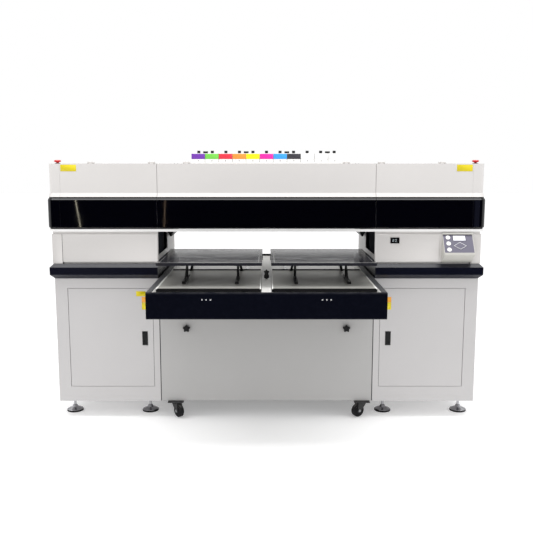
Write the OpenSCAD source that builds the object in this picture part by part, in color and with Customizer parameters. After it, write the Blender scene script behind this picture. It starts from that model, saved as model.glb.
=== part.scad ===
// Twin-table flatbed UV printer. Millimetres, +Z up, origin on the floor under the middle of the machine.
// X runs along the beam, -Y is the operator's side.

/* [Overall] */
// Width of the housings
machine_w = 2500; // [2440:10:2560]
// Width of the bay between the two cabinets
bay_w = 1266; // [1262:1:1270]
// Depth of the housings, front to back
body_depth = 750; // [740:5:800]
// Length of the bed, front to back
bed_length = 1600; // [1580:10:1640]
// How far the bed stands out in front of the housings
bed_reach = 530; // [500:5:540]

/* [Heights] */
// Underside of the cabinets above the floor
cabinet_bottom = 102; // [100:1:106]
// Top of the cabinets and underside of the counters
cabinet_top = 850; // [848:1:860]
// Top of the counters
counter_top = 936; // [930:1:940]
// Shoulder of the middle housings
mid_top = 1110; // [1106:1:1114]
// Underside of the upper housing's pan
pan_bottom = 1125; // [1122:1:1128]
// Lower edge of the black band
band_bottom = 1141; // [1138:1:1144]
// Upper edge of the black band
band_top = 1325; // [1320:1:1330]
// Top of the light ledge over the band
ledge_top = 1348; // [1344:1:1352]
// Top of the upper housing
housing_top = 1516; // [1500:1:1530]

/* [Tables] */
// Gap edge of each platen from the machine's middle
platen_inner = 24.5; // [22:0.5:26]
// Outer edge of each platen from the machine's middle
platen_outer = 603; // [590:1:610]
// Length of a platen, front to back
platen_length = 643; // [600:1:660]
// Upper face of the platens
platen_top = 983; // [975:1:985]
// Thickness of a platen
platen_thick = 16; // [10:1:20]
// Upper face of the trays that carry the platens
tray_top = 852; // [850:1:854]
// Thickness of a tray
tray_thick = 16; // [14:1:17]

/* [Ink] */
// Number of ink tanks
tank_count = 11; // [8:1:11]
// Width of one ink tank's place in the rack
tank_pitch = 87; // [80:1:90]
// Top of the ink tanks
tank_top = 1580; // [1570:1:1590]

/* [Running gear] */
// Radius of a levelling foot's pad
pad_r = 50; // [40:1:55]
// Radius of a caster wheel
wheel_r = 39; // [30:1:39]
// Width of a caster wheel
wheel_w = 26; // [20:1:28]

/* [Hidden] */
$fn = 48;

// main planes
half_w = machine_w / 2;
half_bay = bay_w / 2;
front = -bed_length / 2 + bed_reach;
back = front + body_depth;
bed_front = -bed_length / 2;
bed_back = bed_length / 2;
cabinet_w = half_w - 7;
sheet = 3;
thin_sheet = 2.5;

// band, ledge and corner posts
band_proud = 12;
panel_set_back = 12;
ledge_proud = 4;
ledge_side = 10;
band_side = 3;
half_upper = half_w + 10;
seam_x = half_w - 56;
hood_gap = 2;
corner_r = 28;
band_chamfer = 16;
band_foot_chamfer = 10;
hood_depth = 380;
hinge_r = 3;
knuckle_r = 6;
hinge_z = housing_top + knuckle_r;
running = 0.05;

// counters
counter_proud_front = 33;
counter_proud_side = 12;
counter_chamfer = 18;
counter_foot_chamfer = 25;

// doors
door_x = [672, 1168.5];
door_z = [194, 788];
door_gap = 2;
door_depth = 16;
door_sheet = 2;
door_pin = [1164, 4];
door_pin_r = 2.5;
pin_reach = 12;
latch_x = [705, 738];
latch_z = [444, 531];
latch_axis = [5, 524];
latch_pin_r = 2;

// bed
bed_half = 623.5;
bed_bottom = 719;
bed_top = 859.5;
bed_side_w = 24;
deck_top = 815;
deck_plate = 6;
deck_half = 594;
rail_h = 18;
rail_w = 20;
rail_offset = 190;
table_mid = (platen_inner + platen_outer) / 2;
tray_inner = 29.5;
tray_outer = 593;
tray_front = front - 374;
tray_length = 684;
platen_front = front - 305;
hat_half = 26;
hat_top = 846;
knob_r = 16;
lobe_r = 6;
centre_knob_y = front - 34;
centre_knob_z = 893;
centre_knob_r = 12;

// stands
post_r = 7;
foot_spread = 148;
stand_y = front - 30;
rear_post_y = front + 285;

// gantry and carriage
beam_x = 1180;
beam_y = [front + 420, front + 540];
beam_z = [1180, 1330];
column_x = [660, 740];
column_y = [front + 430, front + 530];
carriage_x = [710, 1010];
carriage_y = [front + 80, front + 375];
carriage_z = [1020, 1400];
guide_z = [1195, 1295];
guide_h = 15;
slot_y = [front + 50, front + 400];
head_z = 992;

// knobs, stops and console
panel_knob_x = 473;
panel_knob_z = 551;
estop_x = 1216;
estop_y = front + 60;
estop_stem_r = 8;
console_x = [1023, 1199];
console_lip = 71;
console_z = [943, 996, 1007, 1108];
slope = atan2(console_z[3] - console_z[2], console_lip);
slope_length = norm([console_z[3] - console_z[2], console_lip]);
key_r = 13;
key_u = 30;
key_v = [101.5, 62, 22];
key_depth = 4;
plate_depth = 2;
pad_centre = [95, 47];
pad_half = [38, 25];
key_clear = 0.1;

// running gear
foot_x = [720, 1188];
foot_y = [front + 130, back - 90];
// left and right casters, with the way each fork points
caster_x = [-545, 573];
caster_y = [front + 22, back - 22];
turn_front_left = 220;
turn_front_right = 120;
turn_rear_left = 160;
turn_rear_right = 30;
caster_plate = 94;
plate_thick = 5;
trail = 26;
wheel_z = wheel_r + 3;
axle_r = 5;
kingpin_r = 8;
cheek = 4;

// a box between two corners
module block(x, y, z) {
    translate([x[0], y[0], z[0]])
        cube([x[1] - x[0], y[1] - y[0], z[1] - z[0]]);
}

// the children and their mirror image across the machine's middle
module both_sides() {
    children();
    mirror([1, 0, 0])
        children();
}

// a profile drawn as y, z points, drawn out along X between two places
module along_x(x0, x1) {
    translate([x0, 0, 0])
        rotate([90, 0, 90])
            linear_extrude(height = x1 - x0)
                children();
}

// plan of a corner cover, with its outer front corner round
module corner_plan(x0, x1, y0, y1, r) {
    difference() {
        translate([x0, y0])
            square([x1 - x0, y1 - y0]);
        translate([x1 - r, y0])
            square([r, r]);
    }
    intersection() {
        translate([x1 - r, y0 + r])
            circle(r);
        translate([x1 - r, y0])
            square([r, r]);
    }
}

// a thin slice of the corner plan, grown to the front and to the side, for the sloped stretches
module corner_slice(z, to_front, to_side) {
    y0 = front + panel_set_back - to_front;
    translate([0, 0, z])
        linear_extrude(height = 0.01)
            corner_plan(seam_x, half_upper + to_side, y0, back, corner_r + to_side, $fn = 32);
}

// ---------------------------------------------------------------- base and cabinets

module base_frame() {
    tube = 60;
    x_end = half_bay - 2;
    y0 = front + 4;
    y1 = back - 4;
    color("dimgray") {
        for (z = [cabinet_bottom, bed_bottom - tube])
            for (y = [y0, y1 - tube])
                block([-x_end, x_end], [y, y + tube], [z, z + tube]);
        for (x = [-x_end, x_end - tube])
            for (z = [cabinet_bottom, bed_bottom - tube])
                block([x, x + tube], [y0, y1], [z, z + tube]);
        for (x = [-x_end, x_end - tube])
            for (y = [y0, y1 - tube])
                block([x, x + tube], [y, y + tube], [cabinet_bottom, bed_bottom]);
    }
}

module cabinet() {
    opening_x = [door_x[0] - door_gap, door_x[1] + door_gap + 0.5];
    opening_z = [door_z[0] - door_gap, door_z[1] + door_gap];
    difference() {
        block([half_bay, cabinet_w], [front, back], [cabinet_bottom, cabinet_top]);
        block([half_bay + sheet, cabinet_w - sheet], [front + sheet, back - sheet],
              [cabinet_bottom + sheet, cabinet_top + 1]);
        block(opening_x, [front - 1, front + sheet + 1], opening_z);
        for (i = [0 : 7])
            block([820, 1060], [back - sheet - 1, back + 1], [250 + 22 * i, 256 + 22 * i]);
    }
    // pivot brackets and their pins, over and under the door
    for (up = [0, 1]) {
        edge = opening_z[up];
        block([opening_x[1] - 16, opening_x[1] + 2], [front, front + 12],
              up == 1 ? [edge, edge + 10] : [edge - 10, edge]);
        translate([door_pin[0], front + door_pin[1], up == 1 ? edge - pin_reach : edge])
            cylinder(r = door_pin_r, h = pin_reach);
    }
}

module left_cabinet() {
    color("gainsboro")
        mirror([1, 0, 0])
            cabinet();
}

module right_cabinet() {
    color("gainsboro")
        cabinet();
}

module door() {
    block_h = 16;
    difference() {
        union() {
            difference() {
                block(door_x, [front, front + door_depth], door_z);
                block([door_x[0] + door_sheet, door_x[1] - door_sheet],
                      [front + door_sheet, front + door_depth + 1],
                      [door_z[0] + door_sheet, door_z[1] - door_sheet]);
            }
            for (z = [door_z[0], door_z[1] - block_h])
                block([door_x[1] - 11, door_x[1]], [front, front + door_depth - 2], [z, z + block_h]);
            for (x = [latch_x[0] - 4.5, latch_x[1] + 0.3])
                block([x, x + 4.2], [front + door_sheet, front + 9.5], [latch_axis[1] - 7, latch_z[1]]);
        }
        block(latch_x, [front - 1, front + door_sheet + 0.01], latch_z);
        for (z = [door_z[0] - 1, door_z[1] - pin_reach - 1])
            translate([door_pin[0], front + door_pin[1], z])
                cylinder(r = door_pin_r + running, h = pin_reach + 2);
        translate([latch_x[0] - 6, front + latch_axis[0], latch_axis[1]])
            rotate([0, 90, 0])
                cylinder(r = latch_pin_r + running, h = latch_x[1] - latch_x[0] + 12);
    }
}

module left_door() {
    color("lightgray")
        mirror([1, 0, 0])
            door();
}

module right_door() {
    color("lightgray")
        door();
}

module paddle() {
    difference() {
        block([latch_x[0] + 0.5, latch_x[1] - 0.5], [front - 2, front + 9], [latch_z[0] + 2, latch_axis[1] + 2]);
        block([latch_x[0] + 6, latch_x[1] - 6], [front - 3, front + 3], [latch_z[0] + 8, latch_z[0] + 36]);
    }
    translate([latch_x[0] - 4, front + latch_axis[0], latch_axis[1]])
        rotate([0, 90, 0])
            cylinder(r = latch_pin_r, h = latch_x[1] - latch_x[0] + 8);
}

module left_paddle() {
    color("black")
        mirror([1, 0, 0])
            paddle();
}

module right_paddle() {
    color("black")
        paddle();
}

module centre_panels() {
    half = half_bay - 2;
    flange = 3.5;
    z = [cabinet_bottom + 2, bed_bottom - 4];
    color("silver") {
        difference() {
            block([-half, half], [front, front + flange], z);
            both_sides()
                translate([panel_knob_x, front - 1, panel_knob_z])
                    rotate([-90, 0, 0])
                        cylinder(r = 5 + running, h = flange + 2);
        }
        difference() {
            block([-half, half], [back - flange, back], z);
            for (i = [0 : 7])
                block([-200, 200], [back - flange - 1, back + 1], [300 + 22 * i, 306 + 22 * i]);
        }
    }
}

// lobed hand knob whose face looks towards the operator, its stem reaching back
module star_knob(r, depth, stem) {
    rotate([90, 0, 0]) {
        translate([0, 0, 8])
            linear_extrude(height = depth) {
                circle(r);
                for (i = [0 : 4])
                    rotate([0, 0, 18 + 72 * i])
                        translate([r, 0])
                            circle(lobe_r * r / knob_r);
            }
        translate([0, 0, 1])
            cylinder(r = 9, h = 9);
        translate([0, 0, -stem])
            cylinder(r = 5, h = stem + 2);
    }
}

module panel_knob(side) {
    color("black")
        translate([side * panel_knob_x, front, panel_knob_z])
            star_knob(knob_r, 15, 3);
}

module left_panel_knob() {
    panel_knob(-1);
}

module right_panel_knob() {
    panel_knob(1);
}

module counter_trims() {
    x1 = half_w + counter_proud_side;
    y0 = front - counter_proud_front;
    y1 = back + counter_proud_side;
    c = counter_chamfer;
    f = counter_foot_chamfer;
    color("midnightblue")
        both_sides()
            difference() {
                hull() {
                    block([half_bay, x1], [y0, y1], [cabinet_top + f, counter_top - c]);
                    block([half_bay, x1 - c], [y0 + c, y1 - c], [cabinet_top + f, counter_top]);
                    block([half_bay, x1 - f], [y0 + f, y1 - f], [cabinet_top, counter_top - c]);
                }
                block([half_bay + sheet, half_w - 18], [front + 3, back - 18],
                      [cabinet_top - 1, counter_top - sheet]);
                block([half_bay + 17, half_w - 40], [front + 30, back - 50],
                      [cabinet_top, counter_top + 1]);
            }
}

// the cover between counter and upper housing, narrowed at its foot and its neck
module mid_housing() {
    foot = 8;
    neck = 6;
    foot_top = counter_top + 10;
    difference() {
        union() {
            block([half_bay, half_w], [front, back], [foot_top, mid_top]);
            block([half_bay, half_w - foot], [front + foot, back - foot], [counter_top, foot_top]);
            block([half_bay, half_w - neck], [front + neck, back - neck], [mid_top, pan_bottom]);
        }
        block([half_bay + sheet, half_w - foot - sheet], [front + foot + sheet, back - foot - sheet],
              [counter_top - 1, pan_bottom + 1]);
        // passage for the print carriage through the inner wall
        block([half_bay - 1, half_bay + sheet + 1], [front + 14, front + 400], [985, pan_bottom + 1]);
    }
}

module mid_housings() {
    color("whitesmoke")
        both_sides()
            mid_housing();
}

// ---------------------------------------------------------------- upper housing

module upper_pan() {
    rim = 6;
    x = half_upper;
    rim_top = band_bottom - 1;
    color("whitesmoke")
        difference() {
            block([-x, x], [front - rim, back], [pan_bottom, rim_top]);
            block([-x + sheet, x - sheet], [front - rim + sheet, back - sheet],
                  [pan_bottom + sheet, rim_top + 1]);
            block([-1060, 1060], slot_y, [pan_bottom - 1, pan_bottom + sheet + 1]);
            both_sides()
                block([column_x[0] - 5, column_x[1] + 5], [column_y[0] - 5, column_y[1] + 5],
                      [pan_bottom - 1, pan_bottom + sheet + 1]);
        }
}

module end_cover() {
    x0 = seam_x;
    y0 = front + panel_set_back;
    t = thin_sheet;
    difference() {
        union() {
            translate([0, 0, band_bottom - 1])
                linear_extrude(height = housing_top - band_bottom + 1)
                    corner_plan(x0, half_upper, y0, back, corner_r);
            hull() {
                corner_slice(band_top, panel_set_back + ledge_proud, ledge_side);
                corner_slice(ledge_top, 0, 0);
            }
        }
        translate([0, 0, band_bottom - 2])
            linear_extrude(height = housing_top - t - band_bottom + 2)
                corner_plan(x0 - 1, half_upper - t, y0 + t, back - t, corner_r - t);
        translate([estop_x, estop_y, housing_top - t - 1])
            cylinder(r = estop_stem_r + 0.1, h = t + 2);
    }
}

module end_covers() {
    color("whitesmoke")
        both_sides()
            end_cover();
}

module band_end() {
    grow = band_proud + panel_set_back;
    difference() {
        hull() {
            corner_slice(band_bottom, grow - band_foot_chamfer, band_side);
            corner_slice(band_bottom + band_foot_chamfer, grow, band_proud);
            corner_slice(band_top - band_chamfer, grow, band_proud);
            corner_slice(band_top - 0.01, grow - band_chamfer, band_side);
        }
        block([seam_x - 1, half_upper], [front + panel_set_back, back + 1], [band_bottom - 1, band_top + 1]);
    }
}

module band_ends() {
    color("black")
        both_sides()
            band_end();
}

// one hinge place: fixed knuckles with the pin, or the moving knuckle between them
module knuckle(x, w, r) {
    translate([x, front + hood_depth, hinge_z])
        rotate([0, 90, 0])
            cylinder(r = r, h = w);
}

module fixed_hinge(x) {
    for (side = [-22, 10.5]) {
        knuckle(x + side, 11.5, knuckle_r);
        block([x + side, x + side + 11.5], [front + hood_depth, front + hood_depth + 16],
              [housing_top - 0.5, housing_top + 3]);
    }
    knuckle(x - 22, 44, hinge_r);
}

module top_cover() {
    t = thin_sheet;
    y0 = front + hood_depth + 2;
    color("whitesmoke") {
        difference() {
            union() {
                block([-seam_x, seam_x], [y0, back], [housing_top - t, housing_top]);
                block([-seam_x, seam_x], [back - t, back], [band_bottom - 1, housing_top]);
            }
            for (x = [-900, -300, 300, 900])
                for (i = [0 : 7])
                    block([x - 130, x + 130], [back - t - 1, back + 1], [1230 + 24 * i, 1237 + 24 * i]);
        }
        for (x = hinge_places)
            fixed_hinge(x);
    }
}

hinge_places = [-1100, -720, -500, 500, 720, 1100];

// light sheet of a hood between two seams, with its stiffening ends and moving knuckles
module hood(x0, x1) {
    t = thin_sheet;
    y_panel = front + panel_set_back;
    y_skirt = front + 8;
    y_end = front + hood_depth;
    difference() {
        union() {
            along_x(x0, x1)
                polygon([
                    [front - ledge_proud, band_top],
                    [y_panel, ledge_top],
                    [y_panel, housing_top],
                    [y_end, housing_top],
                    [y_end, housing_top - t],
                    [y_panel + t, housing_top - t],
                    [y_panel + t, ledge_top - 1],
                    [y_panel - 9, band_top + t],
                    [y_skirt + t, band_top + t],
                    [y_skirt + t, band_bottom],
                    [y_skirt, band_bottom],
                    [y_skirt, band_top]
                ]);
            for (x = [x0, x1 - t])
                along_x(x, x + t)
                    polygon([
                        [y_skirt + t, band_bottom],
                        [y_skirt + 30, band_bottom],
                        [y_skirt + 45, housing_top - t],
                        [y_panel + t, housing_top - t],
                        [y_panel + t, band_top + t],
                        [y_skirt + t, band_top + t]
                    ]);
            for (x = hinge_places)
                if (x > x0 && x < x1) {
                    knuckle(x - 10, 20, knuckle_r);
                    block([x - 10, x + 10], [y_end - 14, y_end], [housing_top - 0.5, housing_top + 4]);
                }
        }
        for (x = hinge_places)
            if (x > x0 && x < x1)
                knuckle(x - 11, 22, hinge_r + running);
        // room for the fixed knuckles beside each moving one
        for (x = hinge_places)
            if (x > x0 && x < x1)
                for (side = [-22.5, 10.1])
                    knuckle(x + side, 12.4, knuckle_r + 0.5);
    }
}

module left_hood() {
    color("whitesmoke")
        hood(-seam_x + 0.5, -half_bay - hood_gap / 2);
}

module centre_hood() {
    color("whitesmoke")
        hood(-half_bay + hood_gap / 2, half_bay - hood_gap / 2);
}

module right_hood() {
    color("whitesmoke")
        hood(half_bay + hood_gap / 2, seam_x - 0.5);
}

// black band in front of a hood, a shallow channel with sloped edges
module window(x0, x1) {
    w = 4;
    y0 = front - band_proud;
    y1 = front + 8;
    along_x(x0, x1)
        difference() {
            polygon([
                [y1, band_top],
                [y0 + band_chamfer, band_top],
                [y0, band_top - band_chamfer],
                [y0, band_bottom + band_foot_chamfer],
                [y0 + band_foot_chamfer, band_bottom],
                [y1, band_bottom]
            ]);
            polygon([
                [y1 + 1, band_top - w],
                [y0 + band_chamfer + 1, band_top - w],
                [y0 + w, band_top - band_chamfer - 1],
                [y0 + w, band_bottom + band_foot_chamfer + 1],
                [y0 + band_foot_chamfer + 1, band_bottom + w],
                [y1 + 1, band_bottom + w]
            ]);
        }
}

module left_window() {
    color("black")
        window(-seam_x + 0.5, -half_bay - hood_gap / 2);
}

module centre_window() {
    color("black")
        window(-half_bay + hood_gap / 2, half_bay - hood_gap / 2);
}

module right_window() {
    color("black")
        window(half_bay + hood_gap / 2, seam_x - 0.5);
}

// ---------------------------------------------------------------- gantry and print carriage

module gantry() {
    wall = 8;
    color("slategray") {
        difference() {
            block([-beam_x, beam_x], beam_y, beam_z);
            block([-beam_x - 1, beam_x + 1], [beam_y[0] + wall, beam_y[1] - wall],
                  [beam_z[0] + wall, beam_z[1] - wall]);
        }
        both_sides()
            block(column_x, column_y, [cabinet_bottom + sheet, beam_z[0]]);
        for (z = guide_z)
            block([-beam_x + 20, beam_x - 20], [beam_y[0] - 12, beam_y[0]], [z, z + guide_h]);
    }
}

module print_carriage() {
    lamp_w = 18;
    gap = 0.3;
    color("dimgray") {
        difference() {
            block(carriage_x, carriage_y, carriage_z);
            block([carriage_x[0] + 6, carriage_x[1] - 6], [carriage_y[0] - 1, carriage_y[1] - 6],
                  [carriage_z[0] + 60, carriage_z[1] - 6]);
        }
        for (x = [carriage_x[0] - lamp_w, carriage_x[1]])
            block([x, x + lamp_w], [carriage_y[0] + 30, carriage_y[1] - 30], [1000, 1120]);
        for (z = guide_z)
            difference() {
                block([carriage_x[0] + 20, carriage_x[1] - 20], [carriage_y[1], beam_y[0] - 1.5],
                      [z - 8, z + guide_h + 8]);
                block(carriage_x, [beam_y[0] - 12 - gap, beam_y[0]], [z - gap, z + guide_h + gap]);
            }
    }
}

module print_heads() {
    color("silver")
        for (i = [0 : 3])
            for (j = [0 : 1])
                translate([carriage_x[0] + 28 + 66 * i, carriage_y[0] + 40 + 120 * j, head_z])
                    cube([46, 92, carriage_z[0] - head_z]);
}

module capping_station() {
    seal_top = 990.5;
    tray_z = 950;
    color("darkgray") {
        block([half_bay + 8, half_w - 32], [front + 180, front + 250], [counter_top, counter_top + 4]);
        block([carriage_x[0] + 10, carriage_x[1] - 10], [front + 100, front + 360], [counter_top + 4, tray_z]);
        for (i = [0 : 3])
            for (j = [0 : 1])
                translate([carriage_x[0] + 25 + 66 * i, carriage_y[0] + 37 + 120 * j, tray_z])
                    difference() {
                        cube([52, 98, seal_top - tray_z]);
                        translate([5, 5, seal_top - tray_z - 8])
                            cube([42, 88, 9]);
                    }
    }
}

// ---------------------------------------------------------------- bed and tables

module bed_frame() {
    x_out = bed_half;
    inner = bed_half - bed_side_w;
    y = [bed_front + 18, bed_back - 18];
    color("dimgray") {
        both_sides()
            difference() {
                block([inner, x_out], y, [bed_bottom, bed_top]);
                block([inner + sheet, x_out - sheet], [y[0] - 1, y[1] + 1],
                      [bed_bottom + sheet, bed_top - sheet]);
            }
        for (i = [0 : 4])
            translate([-inner, y[0] + 20 + i * (y[1] - y[0] - 100) / 4, bed_bottom])
                cube([2 * inner, 60, deck_top - deck_plate - bed_bottom]);
    }
}

module bed_covers() {
    c = 6;
    wall = 18;
    color("black")
        for (side = [0, 1])
            mirror([0, side, 0])
                along_x(-bed_half, bed_half)
                    polygon([
                        [bed_front + wall, bed_bottom],
                        [bed_front + c, bed_bottom],
                        [bed_front, bed_bottom + c],
                        [bed_front, bed_top - c],
                        [bed_front + c, bed_top],
                        [bed_front + wall, bed_top],
                        [bed_front + wall, bed_top - 4],
                        [bed_front + 8, bed_top - 8],
                        [bed_front + 8, bed_bottom + 8],
                        [bed_front + wall, bed_bottom + 4]
                    ]);
}

module deck() {
    y = [bed_front + 18, bed_back - 18];
    tab = 8;
    color("gainsboro")
        difference() {
            union() {
                block([-deck_half, deck_half], y, [deck_top - deck_plate, deck_top]);
                block([-hat_half, hat_half], y, [deck_top, hat_top]);
                both_sides()
                    block([deck_half, deck_half + 5.5], y, [deck_top - deck_plate, tray_top]);
                block([-9, 9], [centre_knob_y, centre_knob_y + tab], [hat_top, centre_knob_z + 9]);
            }
            block([-hat_half + sheet, hat_half - sheet], [y[0] - 1, y[1] + 1],
                  [deck_top - deck_plate - 1, hat_top - sheet]);
            translate([0, centre_knob_y - 1, centre_knob_z])
                rotate([-90, 0, 0])
                    cylinder(r = 5 + running, h = tab + 2);
        }
}

module centre_knob() {
    color("black")
        translate([0, centre_knob_y, centre_knob_z])
            star_knob(centre_knob_r, 15, 10);
}

module y_rails() {
    color("silver")
        both_sides()
            for (side = [-1, 1])
                block([table_mid + side * rail_offset - rail_w / 2, table_mid + side * rail_offset + rail_w / 2],
                      [bed_front + 40, bed_back - 40], [deck_top, deck_top + rail_h]);
}

module tray() {
    z0 = tray_top - tray_thick;
    gap = 0.3;
    block_w = 48;
    block_l = 90;
    block([tray_inner, tray_outer], [tray_front, tray_front + tray_length], [z0, tray_top]);
    for (side = [-1, 1])
        for (y = [tray_front + 60, tray_front + tray_length - 60 - block_l])
            difference() {
                translate([table_mid + side * rail_offset - block_w / 2, y, deck_top + 3])
                    cube([block_w, block_l, z0 - deck_top - 3]);
                translate([table_mid + side * rail_offset - rail_w / 2 - gap, y - 1, deck_top])
                    cube([rail_w + 2 * gap, block_l + 2, rail_h + gap]);
            }
}

module left_tray() {
    color("gray")
        mirror([1, 0, 0])
            tray();
}

module right_tray() {
    color("gray")
        tray();
}

// four legs on two foot bars, with head bars under the platen
module stand() {
    head = platen_top - platen_thick;
    bar_h = 10;
    brace_w = 6;
    for (side = [-1, 1]) {
        x = table_mid + side * foot_spread;
        block([x - 10, x + 10], [front - 215, front - 25], [tray_top, tray_top + 14]);
        block([x - 3, x + 3], [front - 26, front + 110], [tray_top, tray_top + 8]);
        translate([x, stand_y, tray_top + 2])
            cylinder(r = post_r, h = head - tray_top - 2);
        block([x - 12, x + 12], [front - 240, rear_post_y + 20], [head - bar_h, head]);
        // sloped brace from the foot bar up to the post
        translate([x - brace_w / 2, front - 150, tray_top + 8])
            rotate([35, 0, 0])
                cube([brace_w, 142, brace_w]);
        // rear leg, leaning outwards to its foot
        translate([x + side * 10 - 9, rear_post_y, tray_top])
            cube([18, 18, 8]);
        translate([x + side * 10, rear_post_y + 9, tray_top + 4])
            rotate([0, side * -14, 0])
                cylinder(r = post_r + 1, h = head - tray_top - 8);
    }
    block([table_mid - foot_spread, table_mid + foot_spread], [stand_y - 8, stand_y + 8], [head - bar_h, head]);
    block([table_mid - foot_spread, table_mid + foot_spread], [rear_post_y, rear_post_y + 18],
          [head - bar_h, head]);
}

module left_stand() {
    color("black")
        mirror([1, 0, 0])
            stand();
}

module right_stand() {
    color("black")
        stand();
}

module platen() {
    r = 8;
    w = platen_outer - platen_inner;
    translate([platen_inner, platen_front, platen_top - platen_thick])
        linear_extrude(height = platen_thick) {
            translate([r, 0])
                square([w - 2 * r, platen_length]);
            translate([0, r])
                square([w, platen_length - 2 * r]);
            for (x = [r, w - r])
                for (y = [r, platen_length - r])
                    translate([x, y])
                        circle(r);
        }
}

module left_platen() {
    color("darkslategray")
        mirror([1, 0, 0])
            platen();
}

module right_platen() {
    color("darkslategray")
        platen();
}

// ---------------------------------------------------------------- ink station

rack_y = [front + 450, front + 690];
rack_half = tank_pitch * tank_count / 2 + 8;
neck_r = 7.5;
cap_wall = 2.5;

module ink_rack() {
    rim = 8;
    color("white")
        difference() {
            block([-rack_half, rack_half], rack_y, [housing_top, housing_top + rim]);
            block([-rack_half + 4, rack_half - 4], [rack_y[0] + 4, rack_y[1] - 4],
                  [housing_top + 2, housing_top + rim + 1]);
        }
}

module each_tank() {
    for (i = [0 : tank_count - 1])
        translate([(i - (tank_count - 1) / 2) * tank_pitch, (rack_y[0] + rack_y[1]) / 2, 0])
            children();
}

module ink_tanks() {
    color("white")
        each_tank() {
            translate([-tank_pitch / 2 + 1, -112, housing_top + 2])
                cube([tank_pitch - 2, 224, tank_top - housing_top - 2]);
            translate([0, -60, tank_top - 1])
                cylinder(r = neck_r, h = 13);
        }
}

module tank_caps() {
    color("black")
        each_tank()
            translate([0, -60, tank_top])
                difference() {
                    cylinder(r = neck_r + cap_wall, h = 17);
                    translate([0, 0, -1])
                        cylinder(r = neck_r + running, h = 14);
                }
}

// ---------------------------------------------------------------- stops, console, displays

module estop(side) {
    z = housing_top;
    color("red")
        translate([side * estop_x, estop_y, z]) {
            translate([0, 0, -12])
                cylinder(r = estop_stem_r, h = 22);
            translate([0, 0, 8])
                rotate_extrude()
                    polygon([[0, 0], [14, 0], [20, 4], [20, 8], [17, 12], [0, 13.5]]);
        }
}

module left_estop() {
    estop(-1);
}

module right_estop() {
    estop(1);
}

// the sloped face: x along the face from its left edge, y up the slope from its lower edge
module on_slope() {
    translate([console_x[0], front - console_lip, console_z[2]])
        rotate([slope, 0, 0])
            children();
}

module console_body() {
    wall = 3;
    width = console_x[1] - console_x[0];
    color("whitesmoke")
        difference() {
            along_x(console_x[0], console_x[1])
                polygon([
                    [front, console_z[3]],
                    [front - console_lip, console_z[2]],
                    [front - console_lip, console_z[1]],
                    [front, console_z[0]]
                ]);
            on_slope() {
                translate([wall, wall, -plate_depth])
                    cube([width - 2 * wall, slope_length - 2 * wall, plate_depth + 1]);
                translate([wall + 5, wall + 5, -8])
                    cube([width - 2 * wall - 10, slope_length - 2 * wall - 10, 8]);
            }
        }
}

module pad_outline(grow) {
    g = grow * 1.6;
    polygon([
        [pad_centre[0] - pad_half[0] - g, pad_centre[1]],
        [pad_centre[0], pad_centre[1] - pad_half[1] - g],
        [pad_centre[0] + pad_half[0] + g, pad_centre[1]],
        [pad_centre[0], pad_centre[1] + pad_half[1] + g]
    ]);
}

module console_plate() {
    wall = 3;
    width = console_x[1] - console_x[0];
    color("slategray")
        on_slope()
            difference() {
                translate([wall + 0.2, wall + 0.2, -plate_depth])
                    cube([width - 2 * wall - 0.4, slope_length - 2 * wall - 0.4, plate_depth + 0.5]);
                for (v = key_v)
                    translate([key_u, v, -5])
                        cylinder(r = key_r + key_clear, h = 7);
                translate([0, 0, -5])
                    linear_extrude(height = 7)
                        pad_outline(0.25);
            }
}

module key(v) {
    color("white")
        on_slope()
            translate([key_u, v, -key_depth])
                cylinder(r = key_r, h = key_depth + 3);
}

module start_key() {
    key(key_v[0]);
}

module stop_key() {
    key(key_v[1]);
}

module menu_key() {
    key(key_v[2]);
}

module direction_pad() {
    color("lightsteelblue")
        on_slope()
            translate([0, 0, -key_depth])
                linear_extrude(height = key_depth + 2.5)
                    pad_outline(0);
}

module displays() {
    color("lavender")
        on_slope()
            translate([58, 80, 0.5])
                cube([74, 35, 1.5]);
    color("black")
        difference() {
            block([722, 774], [front - 5, front], [1056, 1090]);
            block([727, 769], [front - 6, front - 3], [1061, 1085]);
        }
}

module power_inlet() {
    color("dimgray")
        translate([900, back, 170])
            difference() {
                cube([90, 26, 60]);
                translate([45, 8, 30])
                    rotate([-90, 0, 0])
                        cylinder(r = 22, h = 20);
            }
}

// ---------------------------------------------------------------- feet and casters

module levelling_feet() {
    color("silver")
        both_sides()
            for (x = foot_x)
                for (y = foot_y)
                    translate([x, y, 0]) {
                        rotate_extrude()
                            polygon([[0, 0], [pad_r, 0], [pad_r, 9], [pad_r - 4, 13], [20, 24], [13, 36], [0, 36]]);
                        cylinder(r = 8, h = cabinet_bottom);
                        translate([0, 0, cabinet_bottom - 12])
                            cylinder(r = 15, h = 12, $fn = 6);
                    }
}

module caster_plates() {
    h = caster_plate / 2;
    color("black")
        for (x = caster_x)
            for (y = caster_y)
                translate([x, y, cabinet_bottom - plate_thick]) {
                    translate([-h, -h, 0])
                        cube([caster_plate, caster_plate, plate_thick]);
                    translate([0, 0, -8])
                        cylinder(r = kingpin_r, h = 9);
                }
}

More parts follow.
